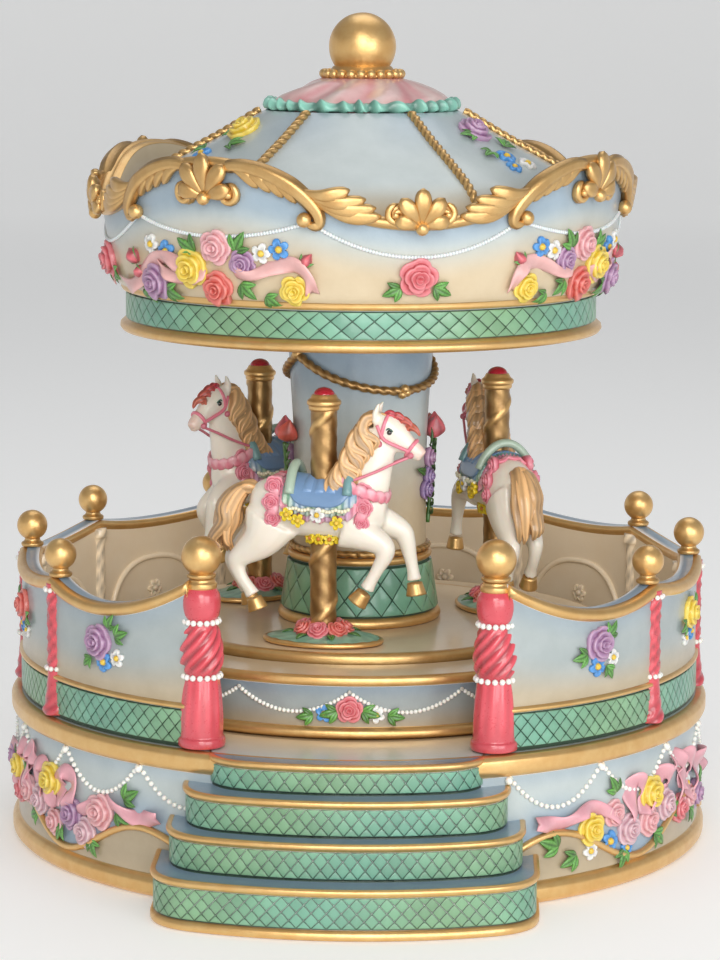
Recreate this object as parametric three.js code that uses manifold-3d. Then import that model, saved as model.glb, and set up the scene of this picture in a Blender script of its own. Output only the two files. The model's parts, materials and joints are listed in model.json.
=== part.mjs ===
// Wind-up carousel music box: a round resin base with steps and a fence, a turntable with three horses
// under a canopy, and an 18-note movement inside the base. Millimetres, +Z up. The origin is the middle
// of the footprint on the surface that it stands on, and the steps face -Y. Every piece is drawn about the
// carousel's axis, and the whole is moved back at the end.
import * as THREE from "three";
import { mergeVertices } from "three/addons/utils/BufferGeometryUtils.js";
import Module from "manifold-3d";

const wasm = await Module();
wasm.setup();

// ---------------------------------------------------------------- driving dimensions
const FIT = 0.3; // gap between pieces that touch
const RUN = 0.4; // gap between pieces that move past each other
const SCREW_HOLE = 0.3; // radial room around a screw

// Base casting
const BASE_R = 82.5; // gilt rims
const BASE_H = 34;
const BASE_RECESS = 1.5; // painted wall inside the gilt rims
const BASE_WALL = 5;
const RIM_H = 4.6;
const FLOOR_T = 3;
const COVER_LIFT = 13.8; // underside recess that holds the key
const COVER_T = 3;
const COVER_LEDGE = 2;
const COVER_SCREWS = 3;
const COVER_SCREW_R = 1.3;
const BOSS_R = 4.8;

// Front steps, from the top one down
const STEP_TOPS = [BASE_H, 27.3, 19.2, 11];
const STEP_REACH = [3.5, 8.3, 12.6, 18.4]; // how far each stands out past the rim
const STEP_HALF_W = [30.6, 35.5, 38.8, 41.8];
const STEP_CORNER = 9;

// Fence
const FENCE_INSET = 2.7; // behind the base's rim
const FENCE_T = 4;
const FENCE_H = 32; // at the posts
const FENCE_SAG = 2; // between the posts
const GATE_RISE = 5; // how far the wall rises to each newel
const GATE_SAG = 5.2; // in the long bay beside each newel
const NEWEL_ANGLE = 24.5;
const POST_ANGLES = [58, 88.5, 119, 149.5, 180];
const PILASTER_R = 2.5;
const NEWEL_INSET = 5.9;
const NEWEL_H = 37.3;
const NEWEL_R = 4.7;
const NEWEL_BALL_R = 4.4;
const FINIAL_BALL_R = 3.6;

// Plinth and turntable
const PLINTH_R = 60.5;
const PLINTH_H = 14;
const PLINTH_WALL = 3;
const TABLE_R = 47;
const TABLE_T = 3.1;
const TABLE_RECESS = 1.5;
const HUB_HOLE_R = 8;
const HUB_R = 6;
const WASHER_T = 0.3;

// Column and canopy
const DRUM_H = 16.4;
const DRUM_BOTTOM_R = 18.1;
const DRUM_TOP_R = 16.4;
const COLUMN_H = 51.9;
const COLUMN_R = 15.7;
const COLUMN_HEAD_R = 17.1;
const COLUMN_WALL = 3;
const CANOPY_BAND_R = 54.7;
const CANOPY_FLARE = 5.7; // from the band out to the crown
const CANOPY_WALL = 3;
const CANOPY_BAND_H = 9.2;
const CROWN_VALLEY_H = 29; // over the canopy's underside
const CROWN_PEAK_H = 41.8;
const CROWN_PHASE = 14; // first valley, degrees round from the steps
const CROWN_WAVES = 4;
const ROOF_H = 50.9;
const ROOF_TOP_R = 22.4;
const ROOF_T = 3;
const CAP_H = 7.5;
const CAP_TOP_R = 9.4;
const TOP_BALL_R = 7.9;

// Horses
const HORSE_COUNT = 3;
const HORSE_PITCH_R = 34;
const HORSE_PHASE = -12;
const MOUND_LONG = 14;
const MOUND_SHORT = 9;
const MOUND_H = 3;
const POLE_R = 3.1;
const POLE_H = 54; // over the turntable

// Movement
const BED_T = 1.6;
const ARBOR_R = 1.8;
const BARREL_R = 13.4;
const BARREL_H = 8.6;
const BARREL_WALL = 1.2;
const RATCHET_T = 1.3;
const RATCHET_R = 4.8;
const RATCHET_TEETH = 12;
const CROWN_MODULE = 0.8;
const CROWN_TEETH = 30;
const CYLINDER_PINION_TEETH = 10;
const CROWN_TOOTH_H = 1.5;
const CYLINDER_R = 6;
const CYLINDER_LENGTH = 14.6;
const CYLINDER_SHAFT_R = 1.1;
const TRAIN_MODULE = 0.7;
const TRAIN_WHEEL_TEETH = 24;
const TRAIN_PINION_TEETH = 8;
const WORM_MODULE = 0.7;
const WORM_WHEEL_TEETH = 16;
const WORM_R = 2;
const FAN_R = 3.7;
const COMB_TEETH = 18;
const COMB_T = 1;
const OUTPUT_R = 1.5;

// ---------------------------------------------------------------- places worked out from them
const baseWallR = BASE_R - BASE_RECESS;
const baseInnerR = baseWallR - BASE_WALL;
const coverSeatZ = COVER_LIFT + COVER_T;
const bossPitchR = baseInnerR - BOSS_R + 0.6;
const fenceR = BASE_R - FENCE_INSET;
const fenceInnerR = fenceR - FENCE_T;
const fenceMidR = fenceR - FENCE_T / 2;
const newelPitchR = BASE_R - NEWEL_INSET;
const fenceTopZ = BASE_H + FENCE_H;
const plinthTopZ = BASE_H + PLINTH_H;
const recessZ = plinthTopZ - TABLE_RECESS;
const tableBottomZ = recessZ + RUN;
const tableTopZ = tableBottomZ + TABLE_T;
const drumTopZ = tableTopZ + DRUM_H;
const columnTopZ = drumTopZ + COLUMN_H;
const canopyBottomZ = columnTopZ + FIT;
const canopyRimR = CANOPY_BAND_R + CANOPY_FLARE;
const crownValleyZ = canopyBottomZ + CROWN_VALLEY_H;
const crownPeakZ = canopyBottomZ + CROWN_PEAK_H;
const roofTopZ = canopyBottomZ + ROOF_H;
const capTopZ = roofTopZ + CAP_H;
const poleTopZ = tableTopZ + POLE_H;
const bandTopZ = canopyBottomZ + CANOPY_BAND_H;
const roofEdgeZ = crownValleyZ - 4.4;
const roofEdgeR = canopyRimR - CANOPY_WALL - FIT - 0.3;
const bedZ = coverSeatZ;
const bedTopZ = bedZ + BED_T;
const ratchetZ = bedTopZ + FIT;
const barrelZ = ratchetZ + RATCHET_T + RUN;
const barrelTopZ = barrelZ + BARREL_H;
const crownPitchR = (CROWN_MODULE * CROWN_TEETH) / 2;
const cylinderPinionR = (CROWN_MODULE * CYLINDER_PINION_TEETH) / 2;
const cylinderZ = barrelTopZ + CROWN_TOOTH_H / 2 + cylinderPinionR;
const pinionFace = 2;
const pinionX = crownPitchR - pinionFace / 2;
const lugT = 1.2;
const innerLugX = BARREL_R + RUN;
const cylinderX = innerLugX + lugT + RUN;
const trainWheelX = cylinderX + CYLINDER_LENGTH + RUN;
const trainWheelT = 2;
const trainWheelR = (TRAIN_MODULE * TRAIN_WHEEL_TEETH) / 2;
const trainPinionR = (TRAIN_MODULE * TRAIN_PINION_TEETH) / 2;
const trainReach = (trainWheelR + trainPinionR) * Math.SQRT1_2;
const governorY = -trainReach;
const governorZ = cylinderZ - trainReach;
const wormWheelX = trainWheelX + trainWheelT + 1.6;
const wormWheelT = 1.2;
const wormWheelR = (WORM_MODULE * WORM_WHEEL_TEETH) / 2;
const wormX = wormWheelX + wormWheelT / 2;
const wormY = governorY - wormWheelR - WORM_R;
const endLugX = wormX + WORM_R + 2.2;
const combY = CYLINDER_R + 1;
const combRootY = combY + 10;
const combBackY = combRootY + 7;
const hubBottomZ = cylinderZ + CYLINDER_R + 1;

// ---------------------------------------------------------------- helpers
const rad = THREE.MathUtils.degToRad;
const at = (x, y) => new THREE.Vector2(x, y);

// A closed geometry as a manifold-3d solid, with its faces pointing out.
function solidOf(geometry) {
  const bare = geometry.clone();
  bare.deleteAttribute("normal");
  bare.deleteAttribute("uv");
  const merged = mergeVertices(bare, 1e-4);
  const kept = [];
  const index = merged.index.array;
  for (let i = 0; i < index.length; i += 3) {
    const [a, b, c] = [index[i], index[i + 1], index[i + 2]];
    if (a !== b && b !== c && a !== c) kept.push(a, b, c);
  }
  const make = (corners) =>
    new wasm.Manifold(
      new wasm.Mesh({
        numProp: 3,
        vertProperties: merged.attributes.position.array,
        triVerts: new Uint32Array(corners),
      }),
    );
  const solid = make(kept);
  if (solid.volume() >= 0) return solid;
  return make(kept.map((_, i) => kept[i - (i % 3) + (2 - (i % 3))]));
}

function geometryOf(solid) {
  const mesh = solid.getMesh();
  const points = new Float32Array(mesh.numVert * 3);
  for (let i = 0; i < mesh.numVert; i++)
    points.set(
      mesh.vertProperties.subarray(i * mesh.numProp, i * mesh.numProp + 3),
      i * 3,
    );
  const geometry = new THREE.BufferGeometry()
    .setAttribute("position", new THREE.BufferAttribute(points, 3))
    .setIndex(new THREE.BufferAttribute(mesh.triVerts, 1));
  geometry.computeVertexNormals();
  return geometry;
}

const join = (...solids) => solids.reduce((whole, next) => whole.add(next));
const cut = (solid, ...tools) =>
  tools.reduce((left, tool) => left.subtract(tool), solid);

// A profile of [radius, height] pairs turned about the Z axis.
function turned(profile, segments = 48) {
  const points = profile.map(([r, z]) => at(r, z));
  const open =
    points[0].x > 0 || points.at(-1).x > 0 ? [points[0].clone()] : [];
  return solidOf(
    new THREE.LatheGeometry([...points, ...open], segments).rotateX(
      Math.PI / 2,
    ),
  );
}

const rod = (r, z0, z1, segments = 16) =>
  turned(
    [
      [0, z0],
      [r, z0],
      [r, z1],
      [0, z1],
    ],
    segments,
  );

const rodAlongX = (r, x0, x1, y, z, segments = 16) =>
  solidOf(
    new THREE.CylinderGeometry(r, r, x1 - x0, segments)
      .rotateZ(Math.PI / 2)
      .translate((x0 + x1) / 2, y, z),
  );

const block = (x0, x1, y0, y1, z0, z1) =>
  solidOf(
    new THREE.BoxGeometry(x1 - x0, y1 - y0, z1 - z0).translate(
      (x0 + x1) / 2,
      (y0 + y1) / 2,
      (z0 + z1) / 2,
    ),
  );

const plate = (shape, z0, z1, curveSegments = 8, steps = 1) =>
  solidOf(
    new THREE.ExtrudeGeometry(shape, {
      depth: z1 - z0,
      bevelEnabled: false,
      curveSegments,
      steps,
    }).translate(0, 0, z0),
  );

// An ellipsoid, or a limb with a round end of its own size at each end.
const ball = (r, [x, y, z], segments = 12, stretch = [1, 1, 1]) =>
  solidOf(
    new THREE.SphereGeometry(r, segments, Math.ceil(segments * 0.6))
      .rotateX(Math.PI / 2)
      .scale(...stretch)
      .translate(x, y, z),
  );

function limb(from, to, r0, r1, segments = 8) {
  const a = new THREE.Vector3(...from);
  const b = new THREE.Vector3(...to);
  const cone = new THREE.CylinderGeometry(r1, r0, a.distanceTo(b), segments);
  cone.applyQuaternion(
    new THREE.Quaternion().setFromUnitVectors(
      new THREE.Vector3(0, 1, 0),
      b.clone().sub(a).normalize(),
    ),
  );
  const middle = a.clone().add(b).multiplyScalar(0.5);
  return solidOf(cone.translate(middle.x, middle.y, middle.z));
}

const move = (solid, x, y, z = 0) => solid.translate([x, y, z]);
const turn = (solid, degrees) => solid.rotate([0, 0, degrees]);

// The place at an angle round from the steps, towards +X.
const around = (r, degrees) => [
  r * Math.sin(rad(degrees)),
  -r * Math.cos(rad(degrees)),
];

// A gear outline: straight-sided teeth, the first one centred on `start` radians.
function gearShape(teeth, module, { start = 0, thickness = 0.4 } = {}) {
  const pitchR = (module * teeth) / 2;
  const width = (thickness * Math.PI * module) / pitchR;
  const corners = [
    [pitchR - 1.1 * module, 0.62],
    [pitchR + 0.75 * module, 0.3],
    [pitchR + 0.75 * module, -0.3],
    [pitchR - 1.1 * module, -0.62],
  ];
  const outline = [];
  for (let i = 0; i < teeth; i++)
    for (const [r, side] of corners) {
      const angle = start + (2 * Math.PI * i) / teeth - side * width;
      outline.push(at(r * Math.cos(angle), r * Math.sin(angle)));
    }
  return new THREE.Shape(outline);
}

// Twists a solid about its Z axis, by `perMm` radians for each millimetre of height.
const twisted = (solid, perMm) =>
  solid.warp((v) => {
    const angle = v[2] * perMm;
    const [x, y] = v;
    v[0] = x * Math.cos(angle) - y * Math.sin(angle);
    v[1] = x * Math.sin(angle) + y * Math.cos(angle);
  });

// Lays a solid that was made about Z along the X axis, its base at x, its outline's +X edge down.
const alongX = (solid, x, y, z) => move(solid.rotate([0, 90, 0]), x, y, z);

const root = new THREE.Group();

const paints = {
  resin: { color: 0xc9cfd2, roughness: 0.35, metalness: 0 },
  cream: { color: 0xd9c9b0, roughness: 0.4, metalness: 0 },
  pink: { color: 0xd8506c, roughness: 0.3, metalness: 0 },
  green: { color: 0x6fae90, roughness: 0.45, metalness: 0 },
  gilt: { color: 0xb98d3f, roughness: 0.32, metalness: 0.7 },
  horse: { color: 0xece4d8, roughness: 0.3, metalness: 0 },
  brass: { color: 0xc2a25a, roughness: 0.3, metalness: 1 },
  steel: { color: 0xb4b8bc, roughness: 0.3, metalness: 1 },
  zinc: { color: 0x9a9c9e, roughness: 0.45, metalness: 1 },
  plastic: { color: 0xe8e6df, roughness: 0.5, metalness: 0 },
};

function add(name, solid, paint) {
  const mesh = new THREE.Mesh(
    geometryOf(solid),
    new THREE.MeshStandardMaterial(paints[paint]),
  );
  mesh.name = name;
  root.add(mesh);
}

// ---------------------------------------------------------------- base
function baseShell() {
  const shell = turned(
    [
      [baseInnerR, 0],
      [BASE_R, 0],
      [BASE_R, RIM_H],
      [baseWallR, RIM_H + 1],
      [baseWallR, BASE_H - RIM_H - 0.6],
      [BASE_R, BASE_H - RIM_H + 0.6],
      [BASE_R, BASE_H],
      [PLINTH_R - PLINTH_WALL, BASE_H],
      [PLINTH_R - PLINTH_WALL, BASE_H - FLOOR_T],
      [baseInnerR - COVER_LEDGE, BASE_H - FLOOR_T],
      [baseInnerR - COVER_LEDGE, coverSeatZ + FIT],
      [baseInnerR, coverSeatZ + FIT],
    ],
    40,
  );
  const bosses = coverScrewPlaces().map(([x, y]) =>
    move(rod(BOSS_R, coverSeatZ + FIT, BASE_H - FLOOR_T / 2, 14), x, y),
  );
  const pilots = coverScrewPlaces().map(([x, y]) =>
    move(rod(COVER_SCREW_R + SCREW_HOLE, 0, coverSeatZ + 8.6, 10), x, y),
  );
  return cut(join(shell, ...bosses), ...pilots);
}

function coverScrewPlaces() {
  return Array.from({ length: COVER_SCREWS }, (_, i) =>
    around(bossPitchR, 60 + (360 * i) / COVER_SCREWS),
  );
}

// One tread's outline: a front that runs round with the base, and two round corners.
function treadShape(reach, halfWidth) {
  const r = BASE_R + reach;
  const c = STEP_CORNER;
  const cornerX = halfWidth - c;
  const cornerY = -Math.sqrt((r - c) ** 2 - cornerX ** 2);
  const tangent = Math.atan2(cornerY, cornerX);
  const shape = new THREE.Shape();
  shape.moveTo(halfWidth, 0);
  shape.lineTo(halfWidth, cornerY);
  shape.absarc(cornerX, cornerY, c, 0, tangent, true);
  shape.absarc(0, 0, r, tangent, -Math.PI - tangent, true);
  shape.absarc(-cornerX, cornerY, c, -Math.PI - tangent, -Math.PI, true);
  shape.lineTo(-halfWidth, 0);
  shape.closePath();
  return shape;
}

function frontSteps() {
  const treads = STEP_TOPS.map((top, i) =>
    plate(treadShape(STEP_REACH[i], STEP_HALF_W[i]), 0, top, 4),
  );
  return cut(join(...treads), rod(BASE_R + FIT, -1, BASE_H + 1, 40));
}

function bottomCover() {
  const holes = [
    ...coverScrewPlaces().map(([x, y]) => [x, y, COVER_SCREW_R]),
    ...movementScrewPlaces().map(([x, y]) => [x, y, COVER_SCREW_R]),
    [0, 0, ARBOR_R + 2],
  ].map(([x, y, r]) =>
    move(rod(r + SCREW_HOLE, 0, coverSeatZ + 1, 10), x, y),
  );
  return cut(rod(baseInnerR - FIT, COVER_LIFT, coverSeatZ, 40), ...holes);
}

// A round-headed screw that points up, its head under `z`.
const screwUp = (x, y, z, length) =>
  move(
    turned(
      [
        [0, z - 1.6],
        [1.5, z - 1.6],
        [2.6, z - 0.9],
        [2.6, z],
        [COVER_SCREW_R, z],
        [COVER_SCREW_R, z + length],
        [0, z + length],
      ],
      8,
    ),
    x,
    y,
  );

// ---------------------------------------------------------------- fence
const postAngles = [
  ...POST_ANGLES,
  ...POST_ANGLES.slice(0, -1)
    .toReversed()
    .map((a) => 360 - a),
];

// A radial cutter whose lower edge sags between two angles, from z0 at the first to z1 at the second.
function sagCutter(from, to, z0, z1, sag) {
  const middle = (from + to) / 2;
  const half = fenceR * Math.tan(rad((to - from) / 2));
  const shape = new THREE.Shape();
  shape.moveTo(-half, z0 + 30);
  shape.lineTo(-half, z0);
  shape.quadraticCurveTo(0, (z0 + z1) / 2 - 2 * sag, half, z1);
  shape.lineTo(half, z0 + 30);
  shape.closePath();
  const bar = plate(shape, fenceInnerR - 4, fenceR + 4, 4);
  return turn(bar.rotate([90, 0, 0]), middle);
}

function balustradeWall() {
  const from = NEWEL_ANGLE + 1;
  const ring = new THREE.Shape();
  const [a0, a1] = [rad(from - 90), rad(270 - from)];
  ring.absarc(0, 0, fenceR, a0, a1, false);
  ring.absarc(0, 0, fenceInnerR, a1, a0, true);
  ring.closePath();
  const wall = plate(ring, BASE_H + FIT, fenceTopZ + GATE_RISE, 26);
  const pilasters = postAngles.map((a) => {
    const [x, y] = around(fenceMidR, a);
    return move(
      turned(
        [
          [0, BASE_H + FIT],
          [PILASTER_R + 0.8, BASE_H + FIT],
          [PILASTER_R + 0.6, BASE_H + 4],
          [PILASTER_R, BASE_H + 5],
          [PILASTER_R, fenceTopZ],
          [0, fenceTopZ],
        ],
        10,
      ),
      x,
      y,
    );
  });
  const bays = postAngles
    .slice(1)
    .map((a, i) =>
      sagCutter(postAngles[i], a, fenceTopZ, fenceTopZ, FENCE_SAG),
    );
  const first = POST_ANGLES[0];
  const gateTop = fenceTopZ + GATE_RISE;
  const gates = [
    sagCutter(from, first, gateTop, fenceTopZ, GATE_SAG),
    sagCutter(-first, -from, fenceTopZ, gateTop, GATE_SAG),
  ];
  const newelRoom = [-1, 1].map((side) =>
    move(
      rod(NEWEL_R + FIT, BASE_H, BASE_H + 60, 16),
      ...around(newelPitchR, side * NEWEL_ANGLE),
    ),
  );
  return cut(join(wall, ...pilasters), ...bays, ...gates, ...newelRoom);
}

const newelTopZ = BASE_H + NEWEL_H;
const newel = (side) =>
  move(
    turned(
      [
        [0, BASE_H + FIT],
        [NEWEL_R, BASE_H + FIT],
        [NEWEL_R, BASE_H + 5],
        [NEWEL_R - 1.1, BASE_H + 17],
        [NEWEL_R - 0.3, BASE_H + 23],
        [NEWEL_R - 1.2, BASE_H + 30],
        [NEWEL_R - 0.6, BASE_H + 33.5],
        [NEWEL_R - 1.9, newelTopZ],
        [0, newelTopZ],
      ],
      16,
    ),
    ...around(newelPitchR, side * NEWEL_ANGLE),
  );

// A ball on a short neck, standing on `z`.
function ballOnNeck(ballR, neckR, neckH, z, segments = 12) {
  const centre = z + neckH + Math.sqrt(ballR ** 2 - (neckR * 0.7) ** 2);
  const start = Math.asin((neckR * 0.7) / ballR);
  const turns = 6;
  const arc = Array.from({ length: turns + 1 }, (_, i) => {
    const a = start + ((Math.PI - start) * i) / turns;
    return [i === turns ? 0 : ballR * Math.sin(a), centre - ballR * Math.cos(a)];
  });
  return turned([[0, z], [neckR, z], [neckR, z + neckH * 0.6], ...arc], segments);
}

// ---------------------------------------------------------------- plinth and turntable
const plinth = () =>
  turned(
    [
      [PLINTH_R - PLINTH_WALL, BASE_H],
      [PLINTH_R + 1.6, BASE_H],
      [PLINTH_R + 1.6, BASE_H + 2.4],
      [PLINTH_R, BASE_H + 3],
      [PLINTH_R, plinthTopZ],
      [TABLE_R + RUN, plinthTopZ],
      [TABLE_R + RUN, recessZ],
      [HUB_HOLE_R, recessZ],
      [HUB_HOLE_R, recessZ - PLINTH_WALL],
      [PLINTH_R - PLINTH_WALL, recessZ - PLINTH_WALL],
    ],
    40,
  );

const ring = (r0, r1, z0, z1, segments = 24) =>
  turned(
    [
      [r0, z0],
      [r1, z0],
      [r1, z1],
      [r0, z1],
    ],
    segments,
  );

const turntable = () =>
  turned(
    [
      [0, tableBottomZ],
      [TABLE_R - 0.4, tableBottomZ],
      [TABLE_R, tableBottomZ + 0.6],
      [TABLE_R, tableTopZ - 0.8],
      [TABLE_R - 0.8, tableTopZ],
      [0, tableTopZ],
    ],
    40,
  );

const driveHub = () =>
  cut(
    turned(
      [
        [0, hubBottomZ],
        [HUB_R - 1.5, hubBottomZ],
        [HUB_R, hubBottomZ + 1],
        [HUB_R, tableBottomZ],
        [0, tableBottomZ],
      ],
      16,
    ),
    rod(OUTPUT_R + FIT, hubBottomZ - 1, tableBottomZ - 1),
  );

// ---------------------------------------------------------------- column and canopy
const columnDrum = () =>
  turned(
    [
      [0, tableTopZ],
      [DRUM_BOTTOM_R + 0.4, tableTopZ],
      [DRUM_BOTTOM_R + 1.3, tableTopZ + 1.2],
      [DRUM_BOTTOM_R + 0.4, tableTopZ + 2.4],
      [DRUM_TOP_R, drumTopZ - 1.8],
      [DRUM_TOP_R + 0.7, drumTopZ - 0.9],
      [DRUM_TOP_R, drumTopZ],
      [0, drumTopZ],
    ],
    24,
  );

const column = () =>
  turned(
    [
      [COLUMN_R - COLUMN_WALL, drumTopZ],
      [COLUMN_R, drumTopZ],
      [COLUMN_R, drumTopZ + 22],
      [COLUMN_HEAD_R, columnTopZ],
      [COLUMN_HEAD_R - COLUMN_WALL, columnTopZ],
      [COLUMN_R - COLUMN_WALL, drumTopZ + 22],
    ],
    24,
  );

const ceilingR = CANOPY_BAND_R - CANOPY_WALL;

function canopyWall() {
  const wall = turned(
    [
      [ceilingR, canopyBottomZ],
      [CANOPY_BAND_R + 1.2, canopyBottomZ],
      [CANOPY_BAND_R + 1.6, canopyBottomZ + 1.2],
      [CANOPY_BAND_R, canopyBottomZ + 2.6],
      [CANOPY_BAND_R, bandTopZ],
      [CANOPY_BAND_R + 1.1, bandTopZ + 0.6],
      [CANOPY_BAND_R + 2.6, bandTopZ + 2.8],
      [canopyRimR, crownValleyZ],
      [canopyRimR + 1.3, crownPeakZ],
      [canopyRimR + 1.3 - CANOPY_WALL, crownPeakZ],
      [canopyRimR - CANOPY_WALL, crownValleyZ],
      [canopyRimR - CANOPY_WALL, roofEdgeZ],
      [canopyRimR - CANOPY_WALL - 2.4, roofEdgeZ],
      [CANOPY_BAND_R + 1 - CANOPY_WALL, bandTopZ],
      [ceilingR, bandTopZ],
    ],
    40,
  );
  const valleys = Array.from({ length: CROWN_WAVES }, (_, i) => {
    const shape = new THREE.Shape();
    const half = canopyRimR * Math.sin(Math.PI / CROWN_WAVES) + 2;
    const low = crownValleyZ;
    const high = crownPeakZ;
    shape.moveTo(-half, high + 20);
    shape.lineTo(-half, high);
    shape.bezierCurveTo(-half * 0.66, high, -half * 0.55, low, 0, low);
    shape.bezierCurveTo(half * 0.55, low, half * 0.66, high, half, high);
    shape.lineTo(half, high + 20);
    shape.closePath();
    const bar = plate(shape, canopyRimR * 0.6, canopyRimR + 5, 4);
    return turn(bar.rotate([90, 0, 0]), CROWN_PHASE + (360 * i) / CROWN_WAVES);
  });
  return cut(wall, ...valleys);
}

const canopyCeiling = () =>
  rod(ceilingR - FIT, canopyBottomZ, canopyBottomZ + 2.4, 40);

// The roof's bell curve, from the shoulder behind the crown up to the cap.
const roofBell = [
  [roofEdgeR, roofEdgeZ + 4.4],
  [roofEdgeR - 7, roofEdgeZ + 11.2],
  [(roofEdgeR + ROOF_TOP_R) / 2, roofEdgeZ + 16.6],
  [ROOF_TOP_R + 5.6, roofTopZ - 3.2],
];

const canopyRoof = () =>
  turned(
    [
      [roofEdgeR - ROOF_T, roofEdgeZ],
      [roofEdgeR, roofEdgeZ],
      ...roofBell,
      [ROOF_TOP_R, roofTopZ],
      [0, roofTopZ],
      [0, roofTopZ - ROOF_T],
      [ROOF_TOP_R, roofTopZ - ROOF_T],
      ...roofBell.toReversed().map(([r, z]) => [r - ROOF_T * 0.6, z - ROOF_T]),
    ],
    32,
  );

const roofCap = () =>
  turned(
    [
      [0, roofTopZ],
      [ROOF_TOP_R + 0.4, roofTopZ],
      [ROOF_TOP_R, roofTopZ + 2.4],
      [ROOF_TOP_R - 3, roofTopZ + 3.4],
      [ROOF_TOP_R - 7.4, roofTopZ + 5.9],
      [CAP_TOP_R, capTopZ],
      [0, capTopZ],
    ],
    24,
  );

// ---------------------------------------------------------------- horses
// A horse faces +X in its own frame, with the pole through it at x = 0, y = 0. Heights are over the turntable.
const FACE = { u: 21, z: 46.5 };
const horseLimbs = [
  // neck, head and ears
  [[11, 0, 31], [11.5, 0, 47], 5.2, 3.1],
  [[11.5, 0, 48.5], [FACE.u, 0, FACE.z], 3.3, 1.9],
  [[12.6, 1.6, 49], [12.9, 1.9, 55.4], 1.2, 0.4],
  [[12.6, -1.6, 49], [12.9, -1.9, 55.4], 1.2, 0.4],
  // forelegs: the near one bends back, the far one reaches forward
  [[11, -3.4, 27], [17, -3.6, 22.6], 3.2, 1.7],
  [[17, -3.6, 23], [9, -3.6, 11.6], 1.6, 1.5],
  [[11, 3.4, 28], [19.6, 3.6, 25.2], 3.2, 1.7],
  [[19.4, 3.6, 26], [21.6, 3.6, 12], 1.6, 1.5],
  // hind legs
  [[-12, -3.4, 29], [-17.2, -3.6, 17], 4.4, 1.9],
  [[-17.2, -3.6, 18], [-12, -3.6, 7], 1.7, 1.6],
  [[-12, 3.4, 29], [-20.6, 3.6, 18.4], 4.4, 1.9],
  [[-20.6, 3.6, 19.4], [-17, 3.6, 8], 1.7, 1.6],
  // tail
  [[-15.6, 0, 33], [-22, 0, 30], 1.8, 2.4],
  [[-22, 0, 31], [-21.4, 0, 15], 2.6, 1],
];

function horse() {
  const trunk = ball(7, [-2, 0, 30.6], 10, [2.3, 0.9, 1]);
  const chest = ball(6.4, [9.6, 0, 30.4], 8, [1, 0.9, 1.1]);
  const rump = ball(6.6, [-11.4, 0, 30.4], 8, [1, 0.9, 1.04]);
  const limbs = horseLimbs.map(([from, to, r0, r1]) =>
    limb(from, to, r0, r1, 5),
  );
  return cut(
    join(trunk, chest, rump, ...limbs),
    rod(POLE_R + FIT, 0, POLE_H, 12),
  );
}

const mound = () =>
  turned(
    [
      [0, tableTopZ + FIT],
      [MOUND_LONG, tableTopZ + FIT],
      [MOUND_LONG, tableTopZ + 1.4],
      [MOUND_LONG - 4, tableTopZ + MOUND_H - 0.4],
      [POLE_R + 1, tableTopZ + MOUND_H],
      [0, tableTopZ + MOUND_H],
    ],
    20,
  ).scale([1, MOUND_SHORT / MOUND_LONG, 1]);

const pole = () =>
  turned(
    [
      [0, tableTopZ + MOUND_H + FIT],
      [POLE_R, tableTopZ + MOUND_H + FIT],
      [POLE_R, poleTopZ],
      [POLE_R + 0.8, poleTopZ + 0.9],
      [POLE_R + 0.4, poleTopZ + 2],
      [POLE_R - 0.4, poleTopZ + 3.4],
      [0, poleTopZ + 4.6],
    ],
    14,
  );

const onCarousel = (solid, i) =>
  turn(
    move(solid, 0, -HORSE_PITCH_R),
    HORSE_PHASE + (360 * i) / HORSE_COUNT,
  );

// ---------------------------------------------------------------- movement
const bedEdge = { x0: -16.5, x1: endLugX + lugT + 1, y0: -22, y1: combBackY + 2 };

function movementScrewPlaces() {
  return [
    [bedEdge.x0 + 4, bedEdge.y1 - 5],
    [bedEdge.x0 + 4, bedEdge.y0 + 4],
    [bedEdge.x1 - 4, bedEdge.y1 - 5],
  ];
}

const clickPivot = [9.6, -4.2];

// An upright bearing lug across the X axis, with a hole for a shaft.
const lug = (x, y, z, half, holeR) =>
  cut(
    block(x, x + lugT, y - half, y + half, bedTopZ - 0.5, z + half),
    rodAlongX(holeR, x - 1, x + lugT + 1, y, z, 10),
  );

function movementBedplate() {
  const { x0, x1, y0, y1 } = bedEdge;
  const shaftHole = CYLINDER_SHAFT_R + FIT;
  const body = join(
    block(x0, x1, y0, y1, bedZ, bedTopZ),
    block(
      cylinderX,
      cylinderX + CYLINDER_LENGTH,
      combRootY + 0.6,
      combBackY,
      bedTopZ - 0.5,
      cylinderZ - COMB_T / 2,
    ),
    lug(innerLugX, 0, cylinderZ, 2.6, shaftHole),
    lug(trainWheelX - lugT - RUN, governorY, governorZ, 2.2, shaftHole),
    move(rod(0.8, bedTopZ - 0.5, ratchetZ + RATCHET_T, 8), ...clickPivot),
  );
  const holes = movementScrewPlaces().map(([x, y]) =>
    move(rod(COVER_SCREW_R + SCREW_HOLE, bedZ - 1, bedTopZ + 1, 10), x, y),
  );
  const combHoles = combScrewPlaces().map(([x, y]) =>
    move(rod(1 + SCREW_HOLE, cylinderZ - 6, cylinderZ + 1, 10), x, y),
  );
  return cut(
    body,
    rod(ARBOR_R + FIT, bedZ - 1, bedTopZ + 1),
    ...holes,
    ...combHoles,
  );
}

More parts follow.
